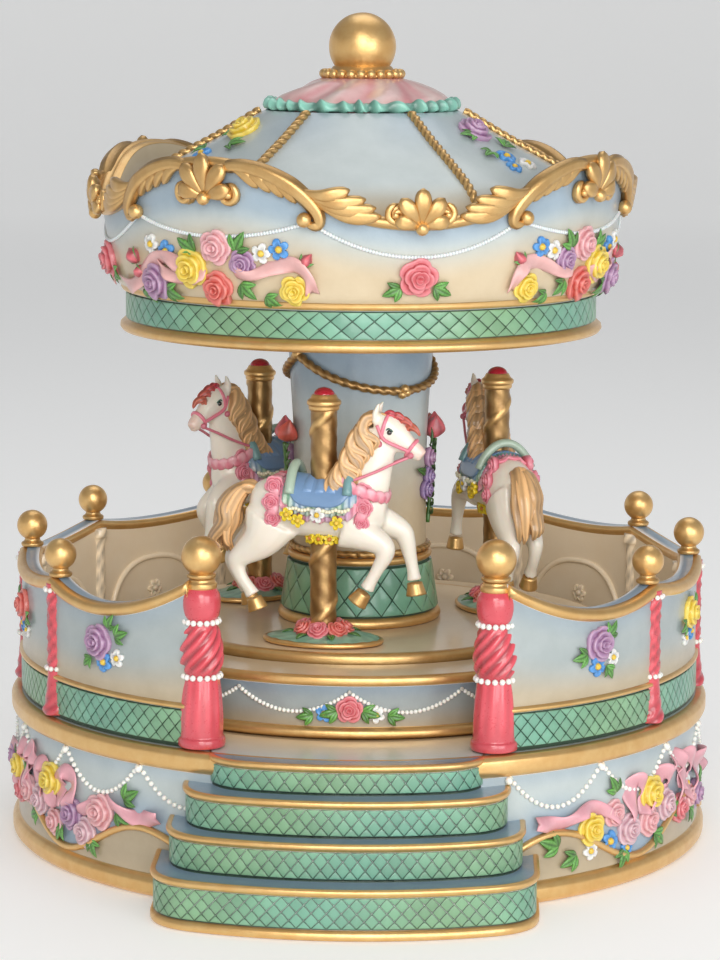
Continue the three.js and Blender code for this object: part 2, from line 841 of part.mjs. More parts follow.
// The end plate that carries the outer ends of both shafts and the two worm bearings.
function governorCock() {
  const wormHole = 0.8 + FIT;
  const endPlate = block(
    endLugX,
    endLugX + lugT,
    wormY - 2.6,
    3.4,
    bedTopZ,
    cylinderZ + 3,
  );
  const shelf = (z) =>
    cut(
      block(wormX - 2.4, endLugX + 0.5, wormY - 2.6, wormY + 2.6, z, z + 1.2),
      move(rod(wormHole, z - 1, z + 2, 10), wormX, wormY),
    );
  const shafts = [
    [0, cylinderZ],
    [governorY, governorZ],
  ].map(([y, z]) =>
    rodAlongX(CYLINDER_SHAFT_R + FIT, endLugX - 1, endLugX + 3, y, z, 10),
  );
  return cut(join(endPlate, shelf(governorZ - 6.4), shelf(governorZ + 5.2)), ...shafts);
}

function springBarrel() {
  const cup = turned(
    [
      [BARREL_R - BARREL_WALL, barrelZ + 1.2],
      [BARREL_R, barrelZ + 1.2],
      [BARREL_R, barrelTopZ],
      [0, barrelTopZ],
      [0, barrelTopZ - BARREL_WALL],
      [BARREL_R - BARREL_WALL, barrelTopZ - BARREL_WALL],
    ],
    30,
  );
  const pitch = (2 * Math.PI * crownPitchR) / CROWN_TEETH;
  const tooth = (angle) => {
    const shape = new THREE.Shape([
      at(-0.27 * pitch, -0.2),
      at(0.27 * pitch, -0.2),
      at(0.12 * pitch, CROWN_TOOTH_H),
      at(-0.12 * pitch, CROWN_TOOTH_H),
    ]);
    const bar = plate(shape, crownPitchR - 1.1, crownPitchR + 1.1);
    return turn(move(bar.rotate([90, 0, 0]), 0, 0, barrelTopZ), angle);
  };
  const teeth = Array.from({ length: CROWN_TEETH }, (_, i) =>
    tooth(90 + ((i + 0.5) * 360) / CROWN_TEETH),
  );
  return join(cup, ...teeth);
}

const barrelCap = () =>
  ring(ARBOR_R + RUN, BARREL_R - 0.2, barrelZ, barrelZ + 1.2 - 0.1, 24);

// A flat ribbon wound in a spiral from the arbor to the barrel's wall.
function mainspring() {
  const turns = 3;
  const r0 = ARBOR_R + 1.2;
  const r1 = BARREL_R - BARREL_WALL - 1;
  const count = turns * 14;
  const side = (offset) =>
    Array.from({ length: count + 1 }, (_, i) => {
      const angle = (2 * Math.PI * turns * i) / count;
      const r = r0 + ((r1 - r0) * i) / count + offset;
      return at(r * Math.cos(angle), r * Math.sin(angle));
    });
  const shape = new THREE.Shape([...side(0), ...side(0.5).reverse()]);
  return plate(
    shape,
    barrelZ + 1.2 + FIT,
    barrelTopZ - BARREL_WALL - FIT,
  );
}

const outputShaft = () =>
  turned(
    [
      [0, barrelTopZ + 0.1],
      [5, barrelTopZ + 0.1],
      [5, barrelTopZ + 1.4],
      [OUTPUT_R, barrelTopZ + 1.8],
      [OUTPUT_R, tableBottomZ - 1.4],
      [0, tableBottomZ - 1.4],
    ],
    16,
  );

const windingArbor = () =>
  rod(ARBOR_R, COVER_LIFT - 4.6, barrelTopZ - BARREL_WALL - FIT, 14);

function ratchetWheel() {
  const outline = [];
  for (let i = 0; i < RATCHET_TEETH; i++) {
    const a = (2 * Math.PI * i) / RATCHET_TEETH;
    const next = (2 * Math.PI * (i + 1)) / RATCHET_TEETH;
    outline.push(at(RATCHET_R * Math.cos(a), RATCHET_R * Math.sin(a)));
    const valley = RATCHET_R - 1;
    outline.push(at(valley * Math.cos(next), valley * Math.sin(next)));
  }
  return cut(
    plate(new THREE.Shape(outline), ratchetZ, ratchetZ + RATCHET_T),
    rod(ARBOR_R + 0.1, 0, 40, 14),
  );
}

// The click: an arm on its pivot whose nose points at the ratchet's teeth.
function ratchetClick() {
  const [px, py] = clickPivot;
  const nose = RATCHET_R + FIT;
  const shape = new THREE.Shape([
    at(px - 1.9, py - 1.6),
    at(px + 1.9, py - 1.6),
    at(px + 1.9, py + 1.6),
    at(nose + 1.6, 1.8),
    at(nose, 1.4),
    at(nose + 0.5, -0.8),
  ]);
  return cut(
    plate(shape, ratchetZ, ratchetZ + RATCHET_T - 0.2),
    move(rod(0.8 + 0.25, 0, 40, 8), px, py),
  );
}

function windingKey() {
  const wing = 8;
  const bow = new THREE.Shape();
  bow.moveTo(0, -2.2);
  bow.bezierCurveTo(wing * 0.4, -2.2, wing * 0.5, -5, wing, -4.4);
  bow.bezierCurveTo(wing * 1.35, -3.6, wing * 1.35, 3.2, wing, 3.8);
  bow.bezierCurveTo(wing * 0.6, 4.4, wing * 0.5, 2.4, 0, 2.4);
  bow.bezierCurveTo(-wing * 0.5, 2.4, -wing * 0.6, 4.4, -wing, 3.8);
  bow.bezierCurveTo(-wing * 1.35, 3.2, -wing * 1.35, -3.6, -wing, -4.4);
  bow.bezierCurveTo(-wing * 0.5, -5, -wing * 0.4, -2.2, 0, -2.2);
  const blade = move(
    move(plate(bow, -0.9, 0.9, 4), 0, 0).rotate([90, 0, 0]),
    0,
    0,
    6.4,
  );
  const stem = turned(
    [
      [0, 4.4],
      [1.6, 4.4],
      [2.9, 5.6],
      [2.9, COVER_LIFT - RUN],
      [0, COVER_LIFT - RUN],
    ],
    14,
  );
  const bore = rod(ARBOR_R + FIT, COVER_LIFT - 4.6 - FIT, COVER_LIFT + 1, 14);
  return cut(join(blade, stem), bore);
}

// The brass cylinder with its pins, its shaft and the pinion that the barrel drives.
function pinCylinder() {
  const parts = [
    rodAlongX(CYLINDER_R, cylinderX, cylinderX + CYLINDER_LENGTH, 0, cylinderZ, 24),
    rodAlongX(CYLINDER_SHAFT_R, pinionX, endLugX + lugT - 0.2, 0, cylinderZ, 10),
    alongX(
      plate(
        gearShape(CYLINDER_PINION_TEETH, CROWN_MODULE),
        0,
        pinionFace,
      ),
      pinionX,
      0,
      cylinderZ,
    ),
  ];
  const rows = 9;
  for (let i = 0; i < rows; i++) {
    const x = cylinderX + 1 + (i * (CYLINDER_LENGTH - 2)) / (rows - 1);
    for (const step of [0, 0.42]) {
      const a = 2 * Math.PI * ((i * 0.38 + step) % 1);
      const pin = new THREE.BoxGeometry(0.4, 0.4, 1.6)
        .translate(0, 0, CYLINDER_R)
        .rotateX(a)
        .translate(x, 0, cylinderZ);
      parts.push(solidOf(pin));
    }
  }
  return join(...parts);
}

const cylinderWheel = () =>
  cut(
    alongX(
      plate(
        gearShape(TRAIN_WHEEL_TEETH, TRAIN_MODULE, {
          start: Math.PI / 4,
        }),
        0,
        trainWheelT,
      ),
      trainWheelX,
      0,
      cylinderZ,
    ),
    rodAlongX(CYLINDER_SHAFT_R + 0.1, trainWheelX - 1, trainWheelX + 4, 0, cylinderZ, 10),
  );

// The governor wheel's shaft, with the pinion that the cylinder wheel drives and the worm wheel.
function governorWheel() {
  const halfTooth = Math.PI / TRAIN_PINION_TEETH;
  const pinion = alongX(
    plate(
      gearShape(TRAIN_PINION_TEETH, TRAIN_MODULE, {
        start: Math.PI / 4 + Math.PI + halfTooth,
      }),
      0,
      trainWheelT,
    ),
    trainWheelX,
    governorY,
    governorZ,
  );
  const lead = (Math.PI * WORM_MODULE) / (2 * Math.PI * WORM_R);
  const wheel = alongX(
    move(
      twisted(
        move(
          plate(gearShape(WORM_WHEEL_TEETH, WORM_MODULE, { start: Math.PI / 2 }), 0, wormWheelT, 8, 2),
          0,
          0,
          -wormWheelT / 2,
        ),
        WORM_HAND * (lead / wormWheelR),
      ),
      0,
      0,
      wormWheelT / 2,
    ),
    wormWheelX,
    governorY,
    governorZ,
  );
  const shaft = rodAlongX(
    CYLINDER_SHAFT_R,
    trainWheelX - lugT - RUN,
    endLugX + lugT - 0.2,
    governorY,
    governorZ,
    8,
  );
  return join(pinion, wheel, shaft);
}

// The endless screw: one thread whose height round the axis is a straight-sided tooth, and a two-blade air brake.
const WORM_HAND = -1;
function governorFan() {
  const pitch = Math.PI * WORM_MODULE;
  const rootR = WORM_R - 1.1 * WORM_MODULE;
  const tipR = WORM_R + 0.75 * WORM_MODULE;
  const spots = 10;
  const outline = Array.from({ length: spots }, (_, i) => {
    const share = Math.abs(((i / spots + 0.5) % 1) - 0.5) * 2; // 0 at the crest, 1 opposite it
    const height = THREE.MathUtils.clamp((0.5 - share) / 0.3, 0, 1);
    const r = rootR + (tipR - rootR) * height;
    const angle = (2 * Math.PI * i) / spots;
    return at(r * Math.cos(angle), r * Math.sin(angle));
  });
  const turns = 2.6;
  const length = turns * pitch;
  const thread = twisted(
    move(plate(new THREE.Shape(outline), 0, length, 1, 20), 0, 0, -length / 2),
    WORM_HAND * ((2 * Math.PI) / pitch),
  );
  const bladeZ = governorZ + 7.4;
  const blade = block(-FAN_R, FAN_R, -0.35, 0.35, bladeZ, bladeZ + 3.6);
  const shaft = rod(0.8, governorZ - 6.2, bladeZ + 3.6, 8);
  return move(
    join(move(turn(thread, 90 + WORM_PHASE), 0, 0, governorZ), shaft, blade),
    wormX,
    wormY,
  );
}
const WORM_PHASE = 180;

const combScrewPlaces = () =>
  [0.25, 0.75].map((share) => [
    cylinderX + share * CYLINDER_LENGTH,
    combBackY - 3,
  ]);

function musicComb() {
  const x0 = cylinderX + 0.1;
  const pitch = (CYLINDER_LENGTH - 0.2) / COMB_TEETH;
  const outline = [];
  for (let i = 0; i < COMB_TEETH; i++) {
    const left = x0 + i * pitch;
    const root = combRootY - 2.4 + (2.4 * i) / COMB_TEETH;
    outline.push(at(left, root), at(left + 0.1, combY));
    outline.push(at(left + pitch - 0.28, combY), at(left + pitch - 0.2, root));
  }
  outline.push(at(x0 + CYLINDER_LENGTH - 0.2, combBackY), at(x0, combBackY));
  const holes = combScrewPlaces().map(([x, y]) =>
    move(rod(1 + SCREW_HOLE, 0, 60, 10), x, y),
  );
  return cut(
    plate(
      new THREE.Shape(outline),
      cylinderZ - COMB_T / 2,
      cylinderZ + COMB_T / 2,
    ),
    ...holes,
  );
}

const screwDown = (x, y, z, length) =>
  move(
    turned(
      [
        [0, z - length],
        [1, z - length],
        [1, z],
        [2, z],
        [2, z + 0.8],
        [1.4, z + 1.3],
        [0, z + 1.3],
      ],
      8,
    ),
    x,
    y,
  );

// ---------------------------------------------------------------- assembly
add("base_shell", baseShell(), "resin");
add("front_steps", frontSteps(), "green");
add("balustrade_wall", balustradeWall(), "resin");
for (const [name, side] of [["left", -1], ["right", 1]]) {
  add(`newel_${name}`, newel(side), "pink");
  const top = ballOnNeck(NEWEL_BALL_R, 3, 0.9, newelTopZ, 12);
  add(`newel_ball_${name}`, move(top, ...around(newelPitchR, side * NEWEL_ANGLE)), "gilt");
}
postAngles.forEach((a, i) => {
  const finial = ballOnNeck(FINIAL_BALL_R, 2.6, 2, fenceTopZ, 10);
  add(`post_finial_${i + 1}`, move(finial, ...around(fenceMidR, a)), "gilt");
});
add("plinth", plinth(), "cream");
add("thrust_washer", ring(HUB_HOLE_R + 0.4, 13, recessZ, recessZ + WASHER_T), "plastic");
add("bottom_cover", bottomCover(), "plastic");
coverScrewPlaces().forEach(([x, y], i) =>
  add(`cover_screw_${i + 1}`, screwUp(x, y, COVER_LIFT, 11), "steel"),
);
movementScrewPlaces().forEach(([x, y], i) =>
  add(`movement_screw_${i + 1}`, screwUp(x, y, COVER_LIFT, 6), "steel"),
);

add("movement_bedplate", movementBedplate(), "zinc");
add("governor_cock", governorCock(), "zinc");
add("music_comb", musicComb(), "steel");
combScrewPlaces().forEach(([x, y], i) =>
  add(`comb_screw_${i + 1}`, screwDown(x, y, cylinderZ + COMB_T / 2, 5), "steel"),
);
add("ratchet_click", ratchetClick(), "steel");
add("ratchet_wheel", ratchetWheel(), "steel");
add("winding_arbor", windingArbor(), "steel");
add("winding_key", windingKey(), "brass");
add("spring_barrel", springBarrel(), "brass");
add("barrel_cap", barrelCap(), "brass");
add("mainspring", mainspring(), "steel");
add("output_shaft", outputShaft(), "steel");
add("pin_cylinder", pinCylinder(), "brass");
add("cylinder_wheel", cylinderWheel(), "plastic");
add("governor_wheel", governorWheel(), "plastic");
add("governor_fan", governorFan(), "plastic");

add("drive_hub", driveHub(), "plastic");
add("turntable", turntable(), "cream");
add("column_drum", columnDrum(), "green");
add("column", column(), "resin");
for (let i = 0; i < HORSE_COUNT; i++) {
  add(`mound_${i + 1}`, onCarousel(mound(), i), "green");
  add(`pole_${i + 1}`, onCarousel(pole(), i), "gilt");
  add(`horse_${i + 1}`, onCarousel(move(horse(), 0, 0, tableTopZ), i), "horse");
}
add("canopy_ceiling", canopyCeiling(), "cream");
add("canopy_wall", canopyWall(), "resin");
add("canopy_roof", canopyRoof(), "resin");
add("roof_cap", roofCap(), "pink");
add("top_finial", ballOnNeck(TOP_BALL_R, 6, 0.4, capTopZ, 16), "gilt");

// The origin is the middle of the footprint, so the carousel's axis stands behind it.
root.position.y = (BASE_R + STEP_REACH.at(-1) - BASE_R) / 2;

export default root;
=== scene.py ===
"""Carousel music box: painted cast resin on a wind-up movement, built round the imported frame."""

import json
from math import cos, hypot, pi, radians, sin, sqrt

import bpy
import bmesh
import numpy as np
from bpy.props import FloatProperty, FloatVectorProperty, PointerProperty
from mathutils import Matrix, Vector


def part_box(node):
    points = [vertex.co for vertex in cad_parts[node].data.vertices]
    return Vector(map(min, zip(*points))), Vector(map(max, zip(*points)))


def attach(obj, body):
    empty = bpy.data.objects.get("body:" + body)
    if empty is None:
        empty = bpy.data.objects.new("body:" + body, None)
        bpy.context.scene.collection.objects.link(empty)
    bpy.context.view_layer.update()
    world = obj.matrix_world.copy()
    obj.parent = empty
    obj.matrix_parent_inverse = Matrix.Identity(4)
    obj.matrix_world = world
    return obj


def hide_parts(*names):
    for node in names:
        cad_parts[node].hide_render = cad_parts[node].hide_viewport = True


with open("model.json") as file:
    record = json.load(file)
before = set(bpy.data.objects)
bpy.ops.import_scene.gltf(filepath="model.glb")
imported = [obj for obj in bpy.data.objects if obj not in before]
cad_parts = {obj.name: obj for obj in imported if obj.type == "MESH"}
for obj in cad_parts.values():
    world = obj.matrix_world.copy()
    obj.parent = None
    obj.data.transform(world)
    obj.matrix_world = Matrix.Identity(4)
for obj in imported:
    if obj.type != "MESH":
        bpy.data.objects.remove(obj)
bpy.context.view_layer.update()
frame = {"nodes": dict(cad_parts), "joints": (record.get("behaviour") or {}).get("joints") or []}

bl_info = {
    "name": "Carousel music box",
    "version": (1, 0, 0),
    "blender": (4, 5, 0),
    "location": "3D view > Sidebar > Carousel",
    "description": "Builds the painted shells, flowers, horses and gilding of a carousel music box",
    "category": "Object",
}

MM = 0.001
SPIN = next(j for j in frame["joints"] if j["name"] == "carousel_spin")
AXIS_X, AXIS_Y = SPIN["pos_m"][0] / MM, SPIN["pos_m"][1] / MM
STATIONS = (-12, 108, 228)
POSTS = (58, 88.5, 119, 149.5, 180, 210.5, 241, 271.5, 302)
GATE = 25.5
PAINT, GILT, PEARL, PETAL, LEAF, RIBBON, JEWEL, GLOSS, SKIN = range(9)
FINISH_NAMES = ("glazed_paint", "gilt_paint", "pearl_paint", "petal_paint", "leaf_paint", "ribbon_paint", "jewel_paint",
                "pink_gloss", "horse_paint")
PEARL_WHITE = (0.86, 0.85, 0.8)
# dark brown on the undersides of the base and the lowest step
UNDERSIDE_BROWN = (0.16, 0.09, 0.05)
GROOVE_SHADE = 0.3  # painted shade: how far the lattice green is darkened in the grooves between diamonds


def top(node):
    """Height of a node's top, in mm."""
    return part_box(node)[1].z / MM


def foot(node):
    """Height of a node's underside, in mm."""
    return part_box(node)[0].z / MM


def reach(node):
    """Largest radius of a round node that stands on the carousel's axis, in mm."""
    low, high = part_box(node)
    return (high.x - low.x) / 2 / MM


# ---------------------------------------------------------------- colour and number helpers


def rgb(*values):
    """A colour."""
    return np.array(values, float)


WHITE = rgb(1, 1, 1)


def around(count, shift=0):
    """Even angles of a full turn, in radians."""
    return (np.arange(count) + shift) * 2 * pi / count


def mix(first, second, amount):
    """Straight blend of two colours by an array of amounts from 0 to 1."""
    amount = np.asarray(amount, float)[..., None]
    return np.asarray(first) * (1 - amount) + np.asarray(second) * amount


def ramp(low, high, values):
    """Smooth rise from 0 at low to 1 at high: 3t^2 - 2t^3."""
    t = np.clip((np.asarray(values, float) - low) / (high - low), 0, 1)
    return t * t * (3 - 2 * t)


def through(points, count):
    """Catmull-Rom curve through the given points, with count points evenly spread over the spans."""
    p = np.asarray(points, float)
    p = np.vstack([2 * p[0] - p[1], p, 2 * p[-1] - p[-2]])
    s = np.linspace(0, len(p) - 3 - 1e-9, count)
    i = s.astype(int)
    t = (s - i)[:, None]
    a, b, c, d = p[i], p[i + 1], p[i + 2], p[i + 3]
    return 0.5 * (2 * b + (c - a) * t + (2 * a - 5 * b + 4 * c - d) * t**2 + (3 * b - a - 3 * c + d) * t**3)


def eased(profile, size=0.35):
    """Profile with each corner cut back by size and rounded by the middle of a quadratic arc."""
    p = np.asarray(profile, float)
    out = [p[0]]
    for before, here, after in zip(p[:-2], p[1:-1], p[2:]):
        for other in (before, after):
            gap = other - here
            length = hypot(*gap)
            step = gap / length * min(size, 0.42 * length)
            out.append(here + step)
        out.insert(-1, (out[-1] + out[-2] + 2 * here) / 4)
    out.append(p[-1])
    return np.array(out)


# ---------------------------------------------------------------- shapes


class Shape:
    """Closed surfaces of one piece: points in mm about the carousel's axis, paint at each point, finish on each
    face."""

    def __init__(self):
        self.points, self.paint, self.quads, self.tris = [], [], [], []
        self.quad_finish, self.tri_finish = [], []
        self.count = 0

    def _points(self, points, paint):
        points = np.asarray(points, float).reshape(-1, 3)
        paint = np.broadcast_to(np.asarray(paint, float).reshape(-1, 3), points.shape)
        start = self.count
        self.points.append(points)
        self.paint.append(paint)
        self.count += len(points)
        return start

    def rings(self, grid, paint=(1, 1, 1), finish=PAINT, loop=False):
        """Stack of closed rings. Each ring joins the next, and both ends close on one middle point, or the last ring
        joins the first if loop is true."""
        grid = np.asarray(grid, float)
        rows, cols = grid.shape[:2]
        paint = np.broadcast_to(np.asarray(paint, float), grid.shape)
        start = self._points(grid, paint)
        index = start + np.arange(rows * cols).reshape(rows, cols)
        right = np.roll(index, -1, 1)
        above, above_right = np.roll(index, -1, 0), np.roll(right, -1, 0)
        last = rows if loop else rows - 1
        quads = np.stack([index, right, above_right, above], -1)[:last].reshape(-1, 4)
        self.quads.append(quads)
        finish = np.asarray(finish)
        if finish.ndim == 1:
            finish = finish[:last, None]
        self.quad_finish.append(np.broadcast_to(finish, (last, cols)).reshape(-1))
        if not loop:
            for ring, row in ((index[0][::-1], 0), (index[-1], rows - 1)):
                pole = self._points(grid[row].mean(0), paint[row].mean(0))
                fan = np.stack([ring, np.roll(ring, -1), np.full(cols, pole)], -1)
                self.tris.append(fan)
                edge = np.broadcast_to(finish, (last, cols))[min(row, last - 1)]
                self.tri_finish.append(np.broadcast_to(edge, (cols,)))

    def stamp(self, solid, placed, paint, finish):
        """Copies of a small solid. placed holds the points of each copy, paint one colour each or one a point."""
        points, quads, tris = solid
        placed = np.asarray(placed, float)
        many = len(placed)
        if not many:
            return
        paint = np.asarray(paint, float)
        if paint.ndim == 1:
            paint = np.broadcast_to(paint, (many, 3))
        if paint.ndim == 2:
            paint = np.repeat(paint[:, None], placed.shape[1], 1)
        start = self._points(placed, paint)
        offset = start + (np.arange(many) * len(points))[:, None, None]
        for faces, store, finishes in ((quads, self.quads, self.quad_finish), (tris, self.tris, self.tri_finish)):
            if len(faces):
                store.append((faces[None] + offset).reshape(-1, faces.shape[1]))
                finishes.append(np.full(many * len(faces), finish))

    def piece(self, name, body, stands_for):
        """Makes the mesh object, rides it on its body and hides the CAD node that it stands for."""
        points = np.concatenate(self.points)
        paint = np.concatenate(self.paint)
        quads = np.concatenate(self.quads) if self.quads else np.zeros((0, 4), int)
        tris = np.concatenate(self.tris) if self.tris else np.zeros((0, 3), int)
        finish = np.concatenate(self.quad_finish + self.tri_finish)
        mesh = bpy.data.meshes.new(name)
        mesh.vertices.add(len(points))
        world = (points + np.array([AXIS_X, AXIS_Y, 0])) * MM
        mesh.vertices.foreach_set("co", world.astype(np.float32).ravel())
        loops = np.concatenate([quads.ravel(), tris.ravel()]).astype(np.int32)
        mesh.loops.add(len(loops))
        mesh.loops.foreach_set("vertex_index", loops)
        sides = np.concatenate([np.full(len(quads), 4), np.full(len(tris), 3)]).astype(np.int32)
        mesh.polygons.add(len(sides))
        mesh.polygons.foreach_set("loop_start", np.concatenate([[0], np.cumsum(sides)[:-1]]).astype(np.int32))
        used = sorted(set(finish.tolist()))
        order = np.zeros(max(used) + 1, np.int32)
        order[used] = np.arange(len(used))
        mesh.polygons.foreach_set("material_index", order[finish])
        mesh.polygons.foreach_set("use_smooth", np.ones(len(sides), bool))
        for number in used:
            mesh.materials.append(finish_of(FINISH_NAMES[number]))
        colour = mesh.attributes.new("paint", "FLOAT_COLOR", "POINT")
        rgba = np.concatenate([paint, np.ones((len(paint), 1))], 1)
        colour.data.foreach_set("color", rgba.astype(np.float32).ravel())
        mesh.update()
        mesh.validate()
        outward(mesh)
        made = bpy.data.objects.new(name, mesh)
        bpy.context.scene.collection.objects.link(made)
        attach(made, body)
        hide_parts(stands_for)


def outward(mesh):
    """Turns every closed surface's faces outwards."""
    work = bmesh.new()
    work.from_mesh(mesh)
    bmesh.ops.recalc_face_normals(work, faces=work.faces)
    work.to_mesh(mesh)
    work.free()


def ball_solid(cols, rows):
    """Unit ball: rows rings at even angles from pole to pole, with a point at each pole."""
    lift = np.linspace(pi, 0, rows + 2)[1:-1, None]
    turn = around(cols)
    ring = np.stack([np.sin(lift) * np.cos(turn), np.sin(lift) * np.sin(turn), np.cos(lift) + 0 * turn], -1)
    points = np.concatenate([ring.reshape(-1, 3), [[0, 0, -1], [0, 0, 1]]])
    index = np.arange(rows * cols).reshape(rows, cols)
    right = np.roll(index, -1, 1)
    quads = np.stack([index[:-1], right[:-1], right[1:], index[1:]], -1).reshape(-1, 4)
    low = np.stack([right[0], index[0], np.full(cols, rows * cols)], -1)
    high = np.stack([index[-1], right[-1], np.full(cols, rows * cols + 1)], -1)
    return points, quads, np.concatenate([low, high])


BEAD = ball_solid(7, 3)
KNOB = ball_solid(13, 6)
BALL = ball_solid(28, 17)


def beads(shape, centres, radius, paint=PEARL_WHITE, finish=PEARL, solid=BEAD):
    """Small balls at the given points; radius is one number or one for each."""
    centres = np.asarray(centres, float).reshape(-1, 3)
    radius = np.broadcast_to(np.asarray(radius, float), (len(centres),))
    shape.stamp(solid, centres[:, None] + radius[:, None, None] * solid[0], paint, finish)


def bead_ring(shape, centre, radius, height, count, size, paint=PEARL_WHITE, finish=PEARL, solid=BEAD):
    """Balls at even angles round a level circle."""
    turn = around(count)
    spots = [centre[0] + radius * np.sin(turn), centre[1] - radius * np.cos(turn), np.full(count, height)]
    beads(shape, np.column_stack(spots), size, paint, finish, solid)


# ---------------------------------------------------------------- places to put relief


def polar(radius, angle, height):
    """Point at an angle in degrees from the front towards the right, about the carousel's axis."""
    turn = np.radians(angle)
    radius, turn, height = np.broadcast_arrays(radius, turn, height)
    return np.stack([radius * np.sin(turn), -radius * np.cos(turn), height], -1)


class RoundWall:
    """Maps (x along the wall, y up the wall, h out of it) on to a turned wall. The profile runs upwards, and its
    normal is the profile's direction turned a quarter outwards."""

    def __init__(self, profile, smooth=40, even=None):
        self.even = even
        fine = np.asarray(profile, float)
        if smooth:
            fine = through(fine, smooth)
        self.length = np.concatenate([[0], np.cumsum(np.hypot(*np.diff(fine, axis=0).T))])
        self.radius, self.height = fine.T
        run, rise = np.gradient(self.radius), np.gradient(self.height)
        size = np.hypot(run, rise)
        self.out, self.up = rise / size, -run / size

    def at(self, height):
        """Length up the profile at a given height."""
        return np.interp(height, self.height, self.length)

    def place(self, local, angle, height):
        local = np.asarray(local, float)
        along = self.at(height) + local[..., 1]
        inside = np.clip(along, 0, self.length[-1])
        r, z = np.interp(inside, self.length, self.radius), np.interp(inside, self.length, self.height)
        out, up = np.interp(inside, self.length, self.out), np.interp(inside, self.length, self.up)
        over = along - inside
        turn = angle + np.degrees(local[..., 0] / (self.even or r))
        return polar(r + out * local[..., 2] - up * over, turn, z + up * local[..., 2] + out * over)


class FlatPlace:
    """Maps (x, y, h) on to a flat place by its origin and three directions."""

    def __init__(self, origin, right, up):
        self.origin = np.asarray(origin, float)
        right, up = np.asarray(right, float), np.asarray(up, float)
        right = right / np.linalg.norm(right)
        out = np.cross(right, up)
        out /= np.linalg.norm(out)
        self.axes = np.array([right, np.cross(out, right), out])

    def __call__(self, local):
        return self.origin + np.asarray(local, float) @ self.axes


def facing(spot, out):
    """Flat place at a spot, upright, that looks outwards along a direction."""
    return FlatPlace(spot, np.cross((0, 0, 1), out), (0, 0, 1))


def on_wall(wall, angle, height):
    """A function that carries local points to the wall at that angle and height."""
    return lambda local: wall.place(local, angle, height)


def moved(place, *step):
    """The same place, with its local points moved by a step first."""
    return lambda local: place(np.asarray(local) + step)


def within(outer, inner):
    """A place inside another place."""
    return lambda local: outer(inner(local))


def spun(local, degrees):
    """Local points turned in their own plane."""
    c, s = cos(radians(degrees)), sin(radians(degrees))
    local = np.asarray(local, float)
    return np.stack([c * local[..., 0] - s * local[..., 1], s * local[..., 0] + c * local[..., 1], local[..., 2]], -1)


# ---------------------------------------------------------------- cast relief


def sweep(path, wide, thick, cols=10, across=None, bow=0):
    """Tube along a path: each ring is an ellipse, wide across and thick out. across gives the wide direction."""
    path = np.asarray(path, float)
    rows = len(path)
    tangent = np.gradient(path, axis=0)
    tangent /= np.linalg.norm(tangent, axis=1)[:, None] + 1e-12
    if across is None:
        out = np.broadcast_to([0, 0, 1], (rows, 3))
        across = np.cross(out, tangent)
    across = np.broadcast_to(np.asarray(across, float), (rows, 3))
    across = across - (across * tangent).sum(1)[:, None] * tangent
    across = across / (np.linalg.norm(across, axis=1)[:, None] + 1e-12)
    out = np.cross(tangent, across)
    wide = np.broadcast_to(np.asarray(wide, float), (rows,))[:, None, None]
    thick = np.broadcast_to(np.asarray(thick, float), (rows,))[:, None, None]
    turn = around(cols, 0.5)
    c, s = np.cos(turn)[None, :, None], np.sin(turn)[None, :, None]
    return path[:, None] + across[:, None] * wide * c + out[:, None] * (thick * s + bow * wide * (c**2 - 0.5))


def hoop(shape, path, wide, thick, cols, paint=(1, 1, 1), finish=GILT, across=(0, 0, 1)):
    """Closed tube: a sweep along a path that laps its own start and end by one point, and joins itself."""
    tube = sweep(np.vstack([path[-1:], path, path[:1]]), wide, thick, cols, across)[1:-1]
    shape.rings(tube, paint, finish, loop=True)


def cord(shape, place, points, count, wide, thick, cols, paint, finish, across=None):
    """Tube along a smooth curve through a few local points."""
    shape.rings(place(sweep(through(points, count), wide, thick, cols, across)), paint, finish)


def tapered(count, first, middle, last):
    """Thickness along a path: first to middle to last, eased, with both ends drawn in to a rounded tip."""
    s = np.linspace(0, 1, count)
    body = np.interp(s, [0, 0.45, 1], [first, middle, last])
    return body * np.clip(np.sqrt(np.clip(s / 0.06, 0.02, 1)) * np.sqrt(np.clip((1 - s) / 0.08, 0.02, 1)), 0.1, 1)


def rope(shape, path, radius, across, pitch=2.4, paint=(1, 1, 1), strands=2, cols=12, finish=GILT):
    """Twisted cord: a tube whose radius swells and sinks along spiral strands, by the sine of angle less length over
    pitch."""
    path = np.asarray(path, float)
    step = np.concatenate([[0], np.cumsum(np.linalg.norm(np.diff(path, axis=0), axis=1))])
    tube = sweep(path, radius, radius, cols, across)
    turn = around(cols, 0.5)
    wave = np.abs(np.cos(strands / 2 * (turn[None] - 2 * pi * step[:, None] / (pitch * strands))))
    scale = (0.72 + 0.42 * wave)[..., None]
    # painted shade: the grooves between strands are darker, the swelling strands lighter
    shape.rings(path[:, None] + (tube - path[:, None]) * scale, np.asarray(paint) * (0.35 + 0.65 * wave[..., None]),
        finish)


ROSE_LAYERS = (  # rim radius, rim height, petals, turn in radians
    (0.22, 0.78, 2, 0.3), (0.48, 0.76, 3, 1.1), (0.78, 0.58, 4, 0.2), (1.08, 0.3, 5, 1.4))


